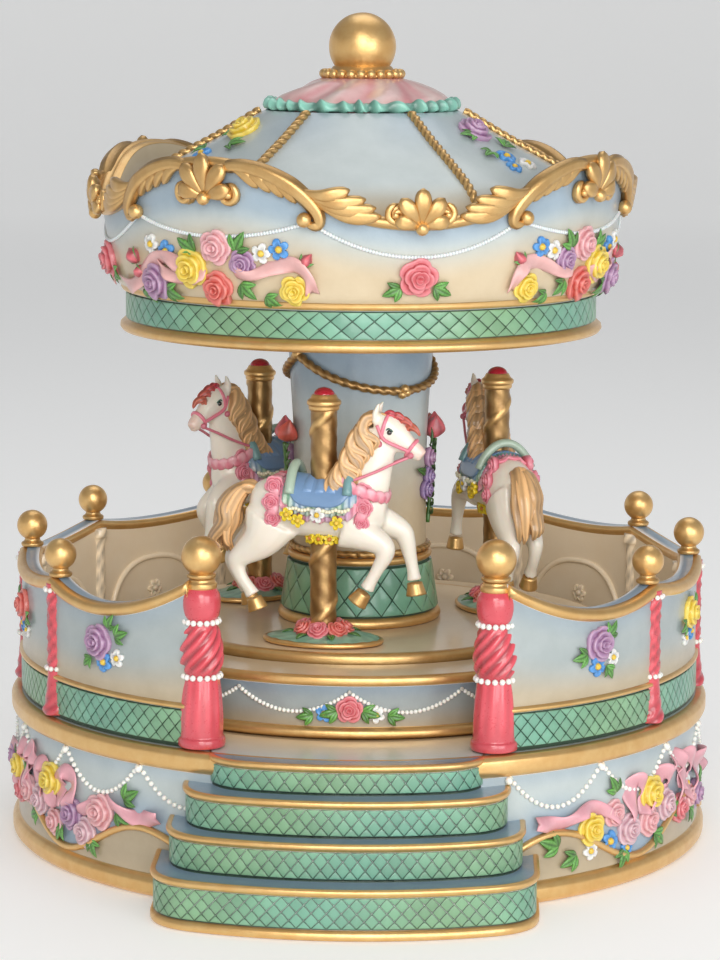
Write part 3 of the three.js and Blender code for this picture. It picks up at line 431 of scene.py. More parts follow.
def rose(shape, place, size, paint, turn=0, cols=28):
    """Rose: rounds of petals. Each round rises from a groove to a rolled rim. A petal's rim radius is the root of a
    cosine and grows along the petal, so that each laps over the next."""
    angle = around(cols)
    paint = np.asarray(paint, float)
    # painted shade and highlight: each round of petals is painted deep in its groove and pale on its rolled rim
    pale, deep = mix(paint, WHITE, 0.13), 0.85 * paint**1.55
    rows, shade = [], []

    def ring(radius, height, dark):
        r = np.broadcast_to(radius, (cols,))
        h = np.broadcast_to(height, (cols,))
        rows.append(np.stack([r * np.cos(angle + turn), r * np.sin(angle + turn), h], -1))
        shade.append(mix(pale, deep, np.full(cols, dark)))

    ring(0.05, ROSE_LAYERS[0][1] - 0.16, 1)
    for number, (radius, height, petals, phase) in enumerate(ROSE_LAYERS):
        curve = np.abs(np.cos(petals / 2 * (angle + phase))) ** 0.45
        lap = (petals * (angle + phase + pi / petals) / (2 * pi)) % 1
        rim = radius * (0.76 + 0.24 * curve) * (0.93 + 0.13 * lap)
        lift = height * (0.74 + 0.22 * curve) + 0.07 * lap
        ring(rim * 0.84, lift - 0.06, 0.45)
        ring(rim * 0.96, lift, 0.05)
        ring(rim * 1.04, lift - 0.05, 0)
        if number < len(ROSE_LAYERS) - 1:
            ring(rim * 1.03, height - 0.26, 1)
    ring(0.9, -0.35, 0.9)
    shape.rings(place(np.array(rows) * size), np.array(shade), PETAL)


def daisy(shape, place, size, paint, petals=5, turn=0, eye=(0.8, 0.55, 0.06)):
    """Daisy: a flat bloom whose rim goes in and out with the petals, each petal hollowed along its middle, and a domed
    eye."""
    cols = petals * 6
    angle = around(cols)
    lobe = np.abs(np.cos(petals / 2 * angle)) ** 0.7
    paint = np.asarray(paint, float)
    spec = (  # radius at the petal, radius between petals, height, hollow, painted shade (dark round the eye and under the bloom), eye
        (0.1, 0.1, 0.5, 0, 0, 1), (0.24, 0.24, 0.44, 0, 0, 1), (0.31, 0.31, 0.26, 0, 0.5, 1),
        (0.36, 0.34, 0.22, 0, 0.6, 0),
        (0.7, 0.46, 0.36, 0.05, 0.1, 0), (0.94, 0.52, 0.34, 0.08, 0, 0), (1, 0.55, 0.22, 0.04, 0.1, 0),
        (0.92, 0.5, -0.3, 0, 0.7, 0))
    rows, shade = [], []
    for far, near, height, hollow, dark, centre in spec:
        r = near + (far - near) * lobe
        h = height - hollow * np.cos(petals * angle)
        rows.append(np.stack([r * np.cos(angle + turn), r * np.sin(angle + turn), h], -1))
        base = np.asarray(eye) if centre else paint
        shade.append(mix(base, base * 0.45, np.full(cols, dark)))
    shape.rings(place(np.array(rows) * size), np.array(shade), PETAL)


def leaf(shape, place, length, width, degrees, paint, lift=0.5, rise=0.9):
    """Leaf: width follows a sine with saw teeth, the section has a sunk midrib, and the blade arches off the wall."""
    s = np.linspace(0, 1, 15)
    tooth = 1 - 0.16 * ((s * 6) % 1)
    half = width / 2 * np.sin(pi * np.clip(s, 0.02, 0.985) ** 0.85) ** 0.75 * tooth
    section = np.array([[-1, 0.02], [-0.5, 0.3], [-0.12, 0.22], [0, 0.06], [0.12, 0.22], [0.5, 0.3], [1, 0.02],
        [0.5, -0.5], [-0.5, -0.5]])
    # painted shade and highlight: raised halves lighter; sunk midrib, edges and underside darker
    tint = np.array([0.8, 1.15, 0.75, 0.45, 0.75, 1.15, 0.8, 0.5, 0.5])
    x = np.broadcast_to((s * length)[:, None], (15, 9))
    y = half[:, None] * section[:, 0]
    h = lift + rise * np.sin(pi * s * 0.9)[:, None] * 0.6 + section[:, 1] * width * 0.35 * np.clip(half / (width / 2),
        0.2, 1)[:, None]
    vein = 0.85 + 0.3 * np.abs(np.cos(s * 6 * pi))[:, None]
    colour = np.asarray(paint)[None, None] * (tint[None] * vein)[..., None]
    shape.rings(place(spun(np.stack([x, y, h], -1), degrees)), colour, LEAF)


def bud(shape, place, length, degrees, paint):
    """Closed bud: a drop with three soft ridges."""
    s = np.linspace(0, 1, 9)
    turn = around(10)
    r = 0.42 * length * np.sin(pi * np.clip(s, 0.03, 0.97) ** 0.7)[:,
        None] * (1 + 0.12 * np.cos(3 * turn + 3 * s[:, None]))
    x = np.broadcast_to((s * length)[:, None], r.shape)
    local = np.stack([x, r * np.cos(turn), 0.5 + r * np.sin(turn)], -1)
    # painted shade and highlight: darker in the grooves and lighter on the ridges, by the same wave as the shape
    shade = np.asarray(paint) * (0.75 + 0.3 * np.cos(3 * turn + 3 * s[:, None]))[..., None]
    shape.rings(place(spun(local, degrees)), shade, PETAL)


def ribbon(shape, place, path, width, paint, wave=0.5, folds=3, notch=True, cols=10):
    """Ribbon: a flat lens carried along a path; its two edges rise and fall in turn as it folds, and its end is
    notched."""
    line = through(path, 30)
    s = np.linspace(0, 1, 30)
    path3 = np.column_stack([line[:, :2], line[:, 2] if line.shape[1] > 2 else 0.9 + wave * np.sin(folds * 2 * pi * s)])
    half = width / 2 * (0.82 + 0.18 * np.cos(folds * 2 * pi * s + 1)) * np.clip(np.sqrt(s * 14 + 0.04), 0, 1)
    grid = sweep(path3, half, 0.3, cols)
    lean = np.sin(folds * 2 * pi * s + 0.6)[:, None]
    side = np.cos(around(cols, 0.5))[None]
    grid[..., 2] += wave * 0.9 * lean * side
    if notch:
        direction = line[-1] - line[-3]
        direction = direction / np.linalg.norm(direction)
        push = np.clip((s - 0.8) / 0.2, 0, 1)[:, None] * (np.abs(side) - 0.4) * width * 0.45
        grid[..., :2] += push[..., None] * direction[:2]
    # painted light and shade on the folds: the raised edge lighter, the sunk edge darker
    colour = np.asarray(paint) * (0.86 + 0.2 * lean * side + 0.08 * np.abs(side))[..., None]
    shape.rings(place(grid), np.clip(colour, 0, 1), RIBBON)


def stem(shape, place, path, wide, count=30, cols=16):
    """Grooved stem: a tube tapered by three widths, its radius times 1 + 0.14 cos(6 angle), so that ridges run along
    it."""
    line = through(path, count)
    size = tapered(count, *wide)
    turn = around(cols, 0.5)
    wave = np.cos(6 * turn)[None]
    grid = sweep(line, size, size * 0.9, cols)
    grid = line[:, None] + (grid - line[:, None]) * (1 + 0.14 * wave[..., None])
    # painted light and shade: lighter on the side facing out, darker in the grooves between ridges
    tone = (0.62 + 0.38 * np.clip(np.sin(turn), 0, 1)[None]) * (0.8 + 0.2 * wave)
    shape.rings(place(grid), np.repeat((tone + 0 * size[:, None])[..., None], 3, 2), GILT)


def lobe(shape, place, root, tip, wide, bend=0, thick=0.9, count=13, cols=12):
    """Lobe of a leaf or shell: its half width rises smoothly from its root to 0.66 of its length and closes in a
    quarter ellipse, its middle is sunk by a bell curve, and it bends aside by a sine."""
    s = np.linspace(0, 1, count)
    root, tip = np.asarray(root, float), np.asarray(tip, float)
    along = tip - root
    line = root + along * s[:, None] + np.array([-along[1], along[0], 0]) * bend * np.sin(pi * s)[:, None]
    line[:, 2] += 0.5 * thick * np.sin(pi * s)
    half = wide / 2 * np.where(s < 0.66, 0.4 + 0.6 * ramp(0, 0.66, s),
        np.sqrt(np.clip(1 - ((s - 0.66) / 0.345) ** 2, 0.02, 1)))
    turn = around(cols, 0.5)
    grid = sweep(line, half, thick * (0.35 + 0.65 * half / half.max()), cols)
    sunk = np.exp(-((np.cos(turn) / 0.34) ** 2)) * (np.sin(turn) > 0)
    grid[..., 2] -= 0.42 * thick * sunk * (half / half.max())[:, None]
    # painted light and shade: lighter on the side facing out, darker underneath and in the sunk middle
    tone = 0.58 + 0.42 * np.clip(np.sin(turn), 0, 1) - 0.45 * sunk
    shape.rings(place(grid), np.broadcast_to(tone[None, :, None], (count, cols, 3)), GILT)


def volute(shape, place, centre, radius, start, hand=1):
    """Volute: a flattened ball with a tube that winds in over it, on a spiral whose radius falls evenly, to a ball."""
    rows = 26
    s = np.linspace(0, 1, rows)
    angle = radians(start) + hand * s * 2.5 * pi
    r = radius * (1 - 0.8 * s)
    line = np.column_stack([centre[0] + r * np.cos(angle), centre[1] + r * np.sin(angle), 1.1 + 0.9 * s])
    size = 0.36 * radius * (1 - 0.35 * s) * np.clip(np.sqrt(s * 10 + 0.05), 0, 1)
    back = KNOB[0] * [radius * 1.12, radius * 1.12, 1.1] + [centre[0], centre[1], 0.5]
    # painted shade: the ball behind the curl is a darker gilt than the curl
    shape.stamp(KNOB, place(back)[None], (0.5, 0.5, 0.5), GILT)
    shape.rings(place(sweep(line, size, size, 8)), WHITE, GILT)
    shape.stamp(KNOB, place(KNOB[0] * radius * 0.34 + line[-1])[None], (1, 1, 1), GILT)


def garland(shape, place, left, right, dip, spacing, radius, paint=PEARL_WHITE):
    """String of pearls that hangs in a parabola between two points of a wall."""
    left, right = np.asarray(left, float), np.asarray(right, float)
    s = np.linspace(0, 1, 200)
    line = left + (right - left) * s[:, None]
    line[:, 1] -= 4 * dip * s * (1 - s)
    step = np.concatenate([[0], np.cumsum(np.hypot(*np.diff(line, axis=0).T))])
    count = max(2, int(step[-1] / spacing) + 1)
    even = np.interp(np.linspace(0, step[-1], count), step, s)
    x = np.interp(even, s, line[:, 0])
    y = np.interp(even, s, line[:, 1])
    beads(shape, place(np.column_stack([x, y, np.full(count, radius * 0.35)])), radius, paint)


DIAMOND_QUADS = np.array([[4 * r + c, 4 * r + (c + 1) % 4, 4 * (r + 1) + (c + 1) % 4, 4 * (r + 1) + c]
                          for r in range(3) for c in range(4)])
DIAMOND_TRIS = np.array([[12 + c, 12 + (c + 1) % 4, 16] for c in range(4)] + [[(c + 1) % 4, c, 17] for c in range(4)])
DIAMOND = (np.zeros((18, 3)), DIAMOND_QUADS, DIAMOND_TRIS)


def lattice(shape, place, length, height, wide, rows, paint, closed=True, rise=0.34, gap=0.13):
    """Quilted band: diamonds in brick order, each a cushion of four rings that rise from the groove to its crown.
    Those on the band's edges are cut to half."""
    across = max(1, round(length / wide))
    w, h = length / across, height / rows
    columns, levels = np.meshgrid(np.arange(across * 2 + (0 if closed else 1)), np.arange(rows * 2 + 1))
    keep = (columns + levels) % 2 == 1
    cx, cy = columns[keep] * w / 2, levels[keep] * h / 2
    corner = np.array([[1, 0], [0, 1], [-1, 0], [0, -1]]) * [w / 2, h / 2]
    lean = gap * hypot(w, h) / w / h * 2
    rings = []
    for shrink, lift in ((1, -0.25), (1, 0.55), (2.4, 0.92), (4.2, 1)):
        scale = max(0.12, 1 - shrink * lean * 0.5)
        x = cx[:, None] + corner[None, :, 0] * scale
        y = np.clip(cy[:, None] + corner[None, :, 1] * scale, gap * shrink * 0.5, height - gap * shrink * 0.5)
        if not closed:
            x = np.clip(x, gap * shrink * 0.5, length - gap * shrink * 0.5)
        rings.append(np.stack([x, y, np.full_like(x, rise * lift)], -1))
    middle = rings[3].mean(1, keepdims=True)
    under = rings[0].mean(1, keepdims=True)
    local = np.concatenate(rings + [middle, under], 1)
    # painted shade and highlight: each diamond is darkest on its groove ring and lightest on its crown
    shade = np.array([0.34] * 4 + [0.66] * 4 + [1] * 4 + [1.18] * 4 + [1.24, 0.3])
    tint = 1 + 0.13 * np.sin(1.9 * cx + 2.3 * cy) * np.cos(0.37 * cx)
    cool = 1 + np.outer(np.sin(0.11 * cx + 1.2) * 0.1, [-1, 0.1, 1.3])
    colour = np.asarray(paint) * shade[None, :, None] * tint[:, None, None] * cool[:, None]
    shape.stamp(DIAMOND, place(local), colour, PAINT)


def turned(shape, profile, centre=(0, 0), cols=48, paint=(1, 1, 1), finish=PAINT, flutes=0, depth=0, twist=0,
        loop=False):
    """Turned shape: the profile's radius swept round an upright axis, with flutes that wind up it by twist degrees a
    mm."""
    profile = np.asarray(profile, float)
    turn = around(cols)
    wave = np.zeros((len(profile), cols))
    if flutes:
        wave = np.cos(flutes * (turn[None] - np.radians(twist) * profile[:, 1:2]))
    scale = np.asarray(depth, float).reshape(-1, 1) * wave
    r = profile[:, :1] * (1 + scale)
    grid = np.stack([centre[0] + r * np.sin(turn), centre[1] - r * np.cos(turn), profile[:, 1:2] + 0 * r], -1)
    colour = np.broadcast_to(np.asarray(paint, float).reshape((-1, 1, 3)) if np.ndim(paint) == 2 else np.asarray(paint,
        float), grid.shape)
    # painted shade and highlight: flute grooves darker, ridges a little lighter
    if flutes:
        colour = colour * (1 + 0.4 * np.clip(wave, -1, 0.4) * np.clip(np.asarray(depth, float).reshape(-1, 1) / 0.08, 0,
            1))[..., None]
    shape.rings(grid, colour, finish, loop=loop)


# ---------------------------------------------------------------- finishes


def node(tree, kind, **values):
    """New node with its inputs or settings."""
    made = tree.nodes.new(kind)
    for name, value in values.items():
        if name in made.inputs:
            made.inputs[name].default_value = value
        else:
            setattr(made, name, value)
    return made


def join(tree, source, output, target, put_in):
    """Links one node's output to another's input."""
    tree.links.new(source.outputs[output], target.inputs[put_in])


def mottle_group():
    """Group for hand-brushed paint: soft clouds change the colour's depth, fine grain moves roughness and height."""
    name = "brushed_mottle"
    if name in bpy.data.node_groups:
        return bpy.data.node_groups[name]
    tree = bpy.data.node_groups.new(name, "ShaderNodeTree")
    for label, kind, value in (("Vector", "NodeSocketVector", None), ("Color", "NodeSocketColor", None),
                               ("Cloud Scale", "NodeSocketFloat", 120), ("Grain Scale", "NodeSocketFloat", 1500),
                               ("Amount", "NodeSocketFloat", 0.2), ("Roughness", "NodeSocketFloat", 0.35)):
        socket = tree.interface.new_socket(label, in_out="INPUT", socket_type=kind)
        if value is not None:
            socket.default_value = value
    for label, kind in (("Color", "NodeSocketColor"), ("Roughness", "NodeSocketFloat"), ("Height", "NodeSocketFloat")):
        tree.interface.new_socket(label, in_out="OUTPUT", socket_type=kind)
    source, result = node(tree, "NodeGroupInput"), node(tree, "NodeGroupOutput")
    cloud = node(tree, "ShaderNodeTexNoise", Detail=4, Roughness=0.6)
    grain = node(tree, "ShaderNodeTexNoise", Detail=3, Roughness=0.65)
    for texture, scale in ((cloud, "Cloud Scale"), (grain, "Grain Scale")):
        join(tree, source, "Vector", texture, "Vector")
        join(tree, source, scale, texture, "Scale")
    spread = node(tree, "ShaderNodeMapRange")
    spread.inputs["From Min"].default_value, spread.inputs["From Max"].default_value = 0.32, 0.68
    join(tree, cloud, "Fac", spread, "Value")
    depth = node(tree, "ShaderNodeMath", operation="MULTIPLY")
    join(tree, spread, "Result", depth, 0)
    join(tree, source, "Amount", depth, 1)
    darker = node(tree, "ShaderNodeMix", data_type="RGBA", blend_type="MULTIPLY")
    join(tree, depth, 0, darker, "Factor")
    join(tree, source, "Color", darker, 6)
    join(tree, source, "Color", darker, 7)
    join(tree, darker, 2, result, "Color")
    rough = node(tree, "ShaderNodeMath", operation="MULTIPLY_ADD")
    rough.inputs[1].default_value = 0.22
    join(tree, grain, "Fac", rough, 0)
    join(tree, source, "Roughness", rough, 2)
    join(tree, rough, 0, result, "Roughness")
    join(tree, grain, "Fac", result, "Height")
    return tree


def start_material(name):
    """New material with its tree and its shader."""
    material = bpy.data.materials.new(name)
    material.use_nodes = True
    tree = material.node_tree
    return material, tree, tree.nodes["Principled BSDF"]


def mottled(tree, shader, vector, strength, rough, clouds, grain, amount, bump):
    """Puts the mottle group into a material: it feeds the shader's colour, roughness and a bump of the grain."""
    link = tree.links.new
    group = node(tree, "ShaderNodeGroup", node_tree=mottle_group())
    for label, value in (("Cloud Scale", clouds), ("Grain Scale", grain), ("Amount", amount),
            ("Roughness", rough - 0.11)):
        group.inputs[label].default_value = value
    link(vector, group.inputs["Vector"])
    link(group.outputs["Color"], shader.inputs["Base Color"])
    link(group.outputs["Roughness"], shader.inputs["Roughness"])
    relief = node(tree, "ShaderNodeBump", Strength=strength, Distance=bump)
    link(group.outputs["Height"], relief.inputs["Height"])
    link(relief.outputs["Normal"], shader.inputs["Normal"])
    return group


def painted_finish(name, rough, coat, coat_rough, clouds, grain, amount, bump, metallic=0, recess=None, crest=None,
                   scatter=0):
    """Material that reads the painted colour of each point, mottles it, and gives it a grain and a clear glaze."""
    material, tree, shader = start_material(name)
    link = tree.links.new
    paint = node(tree, "ShaderNodeAttribute", attribute_name="paint")
    place = node(tree, "ShaderNodeTexCoord")
    group = mottled(tree, shader, place.outputs["Object"], 0.7, rough, clouds, grain, amount, bump)
    colour = paint.outputs["Color"]
    # gilding: the paint's value mixes the painted shade colour of the hollows with the bright gilt
    if recess is not None:
        tone = node(tree, "ShaderNodeMix", data_type="RGBA")
        tone.inputs[6].default_value, tone.inputs[7].default_value = (*recess, 1), (*crest, 1)
        link(paint.outputs["Fac"], tone.inputs["Factor"])
        colour = tone.outputs[2]
    link(colour, group.inputs["Color"])
    shader.inputs["Metallic"].default_value = metallic
    shader.inputs["Coat Weight"].default_value = coat
    shader.inputs["Coat Roughness"].default_value = coat_rough
    if scatter:
        shader.inputs["Subsurface Weight"].default_value = scatter
        shader.inputs["Subsurface Scale"].default_value = 0.0012
    return material


def plain_finish(name, colour, rough, metallic, stretch=(1, 1, 1), clouds=300, grain=4000, amount=0.3, bump=0.00002):
    """Material of one colour for the movement's metals and mouldings, brushed along one direction by a stretched
    grain."""
    material, tree, shader = start_material(name)
    place = node(tree, "ShaderNodeTexCoord")
    turn = node(tree, "ShaderNodeMapping")
    turn.inputs["Scale"].default_value = stretch
    tree.links.new(place.outputs["Object"], turn.inputs["Vector"])
    group = mottled(tree, shader, turn.outputs["Vector"], 0.6, rough, clouds, grain, amount, bump)
    group.inputs["Color"].default_value = (*colour, 1)
    shader.inputs["Metallic"].default_value = metallic
    return material


PAINT_FINISHES = {  # roughness, coat, its roughness, scale of clouds and of grain, depth of clouds, height of grain
    "glazed_paint": (0.36, 0.45, 0.14, 110, 1300, 0.22, 0.00005),
    "gilt_paint": (0.36, 0.25, 0.2, 260, 2200, 0.35, 0.00006),
    "pearl_paint": (0.25, 0.6, 0.08, 400, 3000, 0.1, 0.00001),
    "petal_paint": (0.38, 0.35, 0.18, 500, 2600, 0.28, 0.00004),
    "leaf_paint": (0.38, 0.35, 0.2, 600, 2600, 0.35, 0.00005),
    "ribbon_paint": (0.34, 0.4, 0.16, 350, 2400, 0.25, 0.00003),
    "jewel_paint": (0.14, 1, 0.03, 300, 900, 0.15, 0.00001),
    "horse_paint": (0.34, 0.5, 0.12, 160, 1400, 0.14, 0.00004),
    "pink_gloss": (0.3, 0.7, 0.08, 220, 1300, 0.3, 0.00004),
}
SCATTER = {"pearl_paint": 0.1, "petal_paint": 0.08, "horse_paint": 0.12}
METAL_FINISHES = {  # colour, roughness, metal, stretch, then the scales and depths as above
    "turned_brass": ((0.72, 0.5, 0.2), 0.3, 1, (1, 1, 6)),
    "bright_steel": ((0.56, 0.57, 0.58), 0.28, 1, (5, 1, 1)),
    "cast_zinc": ((0.42, 0.43, 0.44), 0.5, 0.9, (1, 1, 1), 500, 2600, 0.35, 0.00008),
    "moulded_nylon": ((0.78, 0.76, 0.7), 0.45, 0, (1, 1, 1), 200, 3500, 0.12, 0.00003),
}


def finish_of(name):
    """The named finish, made on first use."""
    if name in bpy.data.materials:
        return bpy.data.materials[name]
    if name in METAL_FINISHES:
        return plain_finish(name, *METAL_FINISHES[name])
    values = dict(zip(("rough", "coat", "coat_rough", "clouds", "grain", "amount", "bump"), PAINT_FINISHES[name]))
    if name == "gilt_paint":
        values.update(metallic=0.82, recess=tuple(paints().gilt_recess), crest=tuple(paints().gilt))
    return painted_finish(name, scatter=SCATTER.get(name, 0), **values)


def paints():
    """The scene's colours."""
    return bpy.context.scene.carousel_paints


def sizes():
    """The scene's sizes."""
    return bpy.context.scene.carousel_sizes


def shade_of(name):
    """A named colour."""
    return np.array(getattr(paints(), name))


def shades(*names):
    """Several named colours."""
    return [shade_of(name) for name in names]


# ---------------------------------------------------------------- shared builders


def skin(shape, bands, cols=240, loop=True):
    """Turned shell from bands of profile, each with its finish and its paint: a colour, or a function of radius, height
    and angle."""
    rows, finish, spans = [], [], []
    for profile, number, paint in bands:
        band = eased(profile) if len(profile) > 2 else np.asarray(profile, float)
        spans.append((len(rows), len(rows) + len(band), paint))
        rows.extend(band)
        finish.extend([number] * len(band))
    rows = np.array(rows)
    angle = np.arange(cols) * 360 / cols
    grid = polar(rows[:, :1], angle[None], rows[:, 1:])
    colour = np.zeros_like(grid)
    for first, last, paint in spans:
        if callable(paint):
            colour[first:last] = paint(rows[first:last, :1] + 0 * angle, rows[first:last, 1:] + 0 * angle,
                angle[None] + 0 * rows[first:last, :1])
        else:
            colour[first:last] = paint
    shape.rings(grid, colour, np.array(finish), loop=loop)


def outline(radius, height, *steps):
    """Profile points, each a step out and a step up from one radius and height."""
    return [(radius + out, height + up) for out, up in steps]


def wall_rows(first, last, count):
    """Even steps from one profile point to another."""
    return [tuple(p) for p in np.linspace(first, last, count)]


def flower_colour(name):
    """Colour of a flower by its name."""
    table = {
        "pink": (0.72, 0.16, 0.19), "coral": (0.72, 0.13, 0.09), "yellow": (0.84, 0.64, 0.02),
        "lilac": (0.44, 0.24, 0.42),
        "pale": (0.78, 0.42, 0.44), "blue": (0.1, 0.34, 0.72), "white": (0.82, 0.82, 0.8), "violet": (0.25, 0.14, 0.36),
        "mauve": (0.7, 0.47, 0.52),
    }
    return table[name]


def spray(shape, wall, items, shift=0, mirror=False):
    """Flowers on a wall. Each item is kind, angle, height, size, colour or turn. A mirrored spray swaps left and
    right."""
    hand = -1 if mirror else 1
    leaf_colour = shade_of("leaf")
    for number, (kind, angle, height, size, extra) in enumerate(items):
        place = on_wall(wall, shift + hand * angle, height)
        turn = 0.7 * number
        if kind == "rose":
            rose(shape, place, size, flower_colour(extra), turn)
        elif kind == "daisy":
            daisy(shape, place, size, flower_colour(extra), turn=turn)
        elif kind == "leaf":
            for lean, length, tint in ((-46, 0.74, 0.75), (44, 0.78, 1.25), (0, 1, 1)):
                leaf(shape, place, size * length, size * length * 0.5, (extra if hand > 0 else 180 - extra) + lean,
                    leaf_colour * tint)
        elif kind == "bud":
            bud(shape, place, size, extra if hand > 0 else 180 - extra, flower_colour("pink"))
            leaf(shape, place, size * 0.8, size * 0.3, (extra if hand > 0 else 180 - extra) + 40, leaf_colour)
            leaf(shape, place, size * 0.8, size * 0.3, (extra if hand > 0 else 180 - extra) - 40, leaf_colour)


def strip(shape, wall, path, width, paint, shift=0, mirror=False, wave=0.5, folds=2, notch=True):
    """Ribbon on a wall, its path given as angles and heights."""
    path = np.asarray(path, float)
    angle = shift + (-path[:, 0] if mirror else path[:, 0])
    middle, base = angle.mean(), path[0, 1]
    radius = np.interp(wall.at(base), wall.length, wall.radius)
    local = np.column_stack([np.radians(angle - middle) * radius, path[:, 1] - base])
    ribbon(shape, on_wall(wall, middle, base), local, width, paint, wave, folds, notch)


def base_curve(angle):
    """Height of the gilt wave round the base: a cosine with ten crests, one of them 34 degrees off the front."""
    return 10.5 + 4.6 * np.cos(2 * pi * (np.abs((np.asarray(angle) + 180) % 360 - 180) - 34) / 36.5)


# ---------------------------------------------------------------- pieces of the base


BASE_RIGHT = (
    ("leaf", 34.5, 12, 5.6, 160), ("leaf", 38, 9.4, 5, 205), ("leaf", 57, 9.4, 5.2, -40), ("leaf", 63, 12.4, 5.2, 25),
    ("leaf", 48.5, 8.2, 4.8, 250),
    ("leaf", 80, 14.5, 4.6, 30), ("leaf", 72, 10.6, 4.8, -60), ("leaf", 46.5, 21.6, 4.6, 120),
    ("rose", 41, 14.6, 3.5, "yellow"), ("daisy", 45.2, 10.8, 2.6, "blue"),
    ("daisy", 41, 9.6, 2.2, "white"), ("rose", 49.6, 12.4, 3.5, "mauve"), ("rose", 55.6, 19, 4, "yellow"),
    ("daisy", 49.4, 8.2, 2, "blue"),
    ("rose", 55, 12.8, 3.4, "pale"), ("rose", 60.6, 15, 3.5, "mauve"), ("rose", 66, 12.4, 3.3, "pink"),
    ("rose", 76, 12.6, 3.4, "lilac"),
    ("daisy", 70.5, 16.8, 2.2, "white"), ("rose", 71, 13.4, 3, "pale"), ("rose", 46, 17, 3, "pale"))
BASE_LEFT = (
    ("leaf", -37.4, 20.6, 5.2, 30), ("leaf", -39, 17.4, 5, -25), ("leaf", -66, 18, 5, 150),
    ("leaf", -53, 10.4, 4.6, 240), ("leaf", -78, 18.5, 4.6, 160),
    ("leaf", -62, 10.4, 4.8, 200), ("leaf", -45, 9.6, 4.4, -60), ("rose", -56.5, 20, 4, "yellow"),
    ("rose", -73, 18, 3.7, "yellow"), ("rose", -42.6, 16.6, 3.9, "pale"),
    ("rose", -50, 14.2, 3.7, "lilac"), ("rose", -46.4, 10.8, 3.4, "mauve"), ("rose", -60.5, 14.2, 3.5, "mauve"),
    ("rose", -66, 14.6, 3.3, "pale"),
    ("rose", -55.4, 10.6, 3, "pale"), ("daisy", -69.6, 20.8, 2.1, "white"), ("rose", -80, 18, 3.4, "lilac"),
    ("rose", -72, 12.6, 3, "pink"))


def build_base():
    """Turned shell with a wavy gilt line, strings of pearls between even angles, and flower clusters on ribbons."""
    shape = Shape()
    rim, high = reach("base_shell"), top("base_shell")
    wall = rim - 1.5
    blue, cream, deep = shades("pale_blue", "cream", "deep_blue")

    def painted(radius, height, angle):
        line = base_curve(angle)
        sky = mix(deep, blue, ramp(0, 11, height - line))
        sky = mix(sky, deep, 0.45 * ramp(high - 9, high - 5, height))
        # painted shade: the cream below the wave is a darkened copy, darker still towards the wave
        sand = mix(cream * 0.92, cream * 0.76, ramp(2, 9, height))
        return mix(sand, sky, ramp(-0.4, 0.4, height - line))

    skin(shape, [
        ([(wall - 5, 0), (wall - 1.2, 0)], PAINT, UNDERSIDE_BROWN),
        ([(wall - 1, 0), (rim - 1, 0.1), (rim, 1.1), (rim, 3.3), (rim - 0.7, 4.4), (wall + 0.1, 4.8)], GILT, WHITE),
        (wall_rows((wall, 5), (wall, high - 5), 24), PAINT, painted),
        (outline(0, high, (wall, -4.9), (rim - 0.5, -4.4), (rim, -3.5), (rim, -1.1), (rim - 0.8, -0.1), (rim - 2.2, 0)),
        GILT, WHITE),
        # painted light: the deck's cream and blue are lightened copies (×1.6, ×1.25) to stand in for light on it
        ([(rim - 2.4, high), (64, high)], PAINT, lambda r, z, a: mix(cream * 1.6, blue * 1.25, ramp(76, 81, r))),
        # painted shade: the inner lip and inner wall are a darkened cream
        ([(60.2, high), (60.2, high - 3.4), (wall - 5, high - 3.6), (wall - 5, 0.2)], PAINT, cream * 0.8),
    ], 320)
    angle = np.arange(0, 360, 1)
    centre = polar(wall + 0.2, angle, base_curve(angle))
    hoop(shape, centre, 0.85, 0.95, 8)
    face = RoundWall([(wall, 2), (wall, high - 2)], 0)
    bead = sizes().pearl_radius / MM
    for left in np.arange(25.5, 334, 17.66):
        right = left + 17.66
        span = radians(right - left) * wall
        garland(shape, on_wall(face, (left + right) / 2, high - 5.4), (-span / 2 + 0.4, 0), (span / 2 - 0.4, 0), 7.6,
            bead * 2.35, bead)
        beads(shape, face.place(np.array([[0, 0, 0.4]]), left, high - 5.8), bead * 1.5)
    ribbons = shade_of("ribbon")
    for mirror, shift, items in ((False, 0, BASE_RIGHT), (False, 0, BASE_LEFT), (False, 72, BASE_RIGHT),
            (False, -72, BASE_LEFT), (True, 127, BASE_LEFT)):
        hand = 1 if items is BASE_RIGHT else -1
        for path, width in (([(51, 14), (49.6, 19.5), (51.4, 23.4), (53.6, 20), (53, 15)], 4.9),
                ([(55, 14), (57.4, 20.5), (60, 22.8), (61.6, 19.5), (59, 15)], 4.9),
                            ([(65, 14), (66.8, 20.5), (69.4, 24), (71.8, 19.5), (69, 14)], 5.4),
                            ([(72, 14), (77, 19), (82, 20.5), (84, 16)], 4.8),
                            ([(62, 22), (64, 25), (67, 22), (66, 17)], 4.4),
                            ([(47.5, 15), (43.4, 18.4), (39.4, 19.2), (35, 17), (30.5, 18)], 4)):
            turned_path = [(a * hand, h) for a, h in path]
            strip(shape, face, turned_path, width, ribbons * [0.98, 0.86, 1.02], shift, mirror, 0.8, 2.2,
                path[-1][0] == 30.5)
        spray(shape, face, items, shift, mirror)
    shape.piece("base_body", "base", "base_shell")


STEP_BACK = 76.6
STEP_LEVELS, STEP_RADII, STEP_HALVES = (27.3, 19.2, 11), (86, 90.8, 95.1, 100.9), (30.6, 35.5, 38.8, 41.8)
STEP_LIP, STEP_SKIRT = 1.4, 1.9


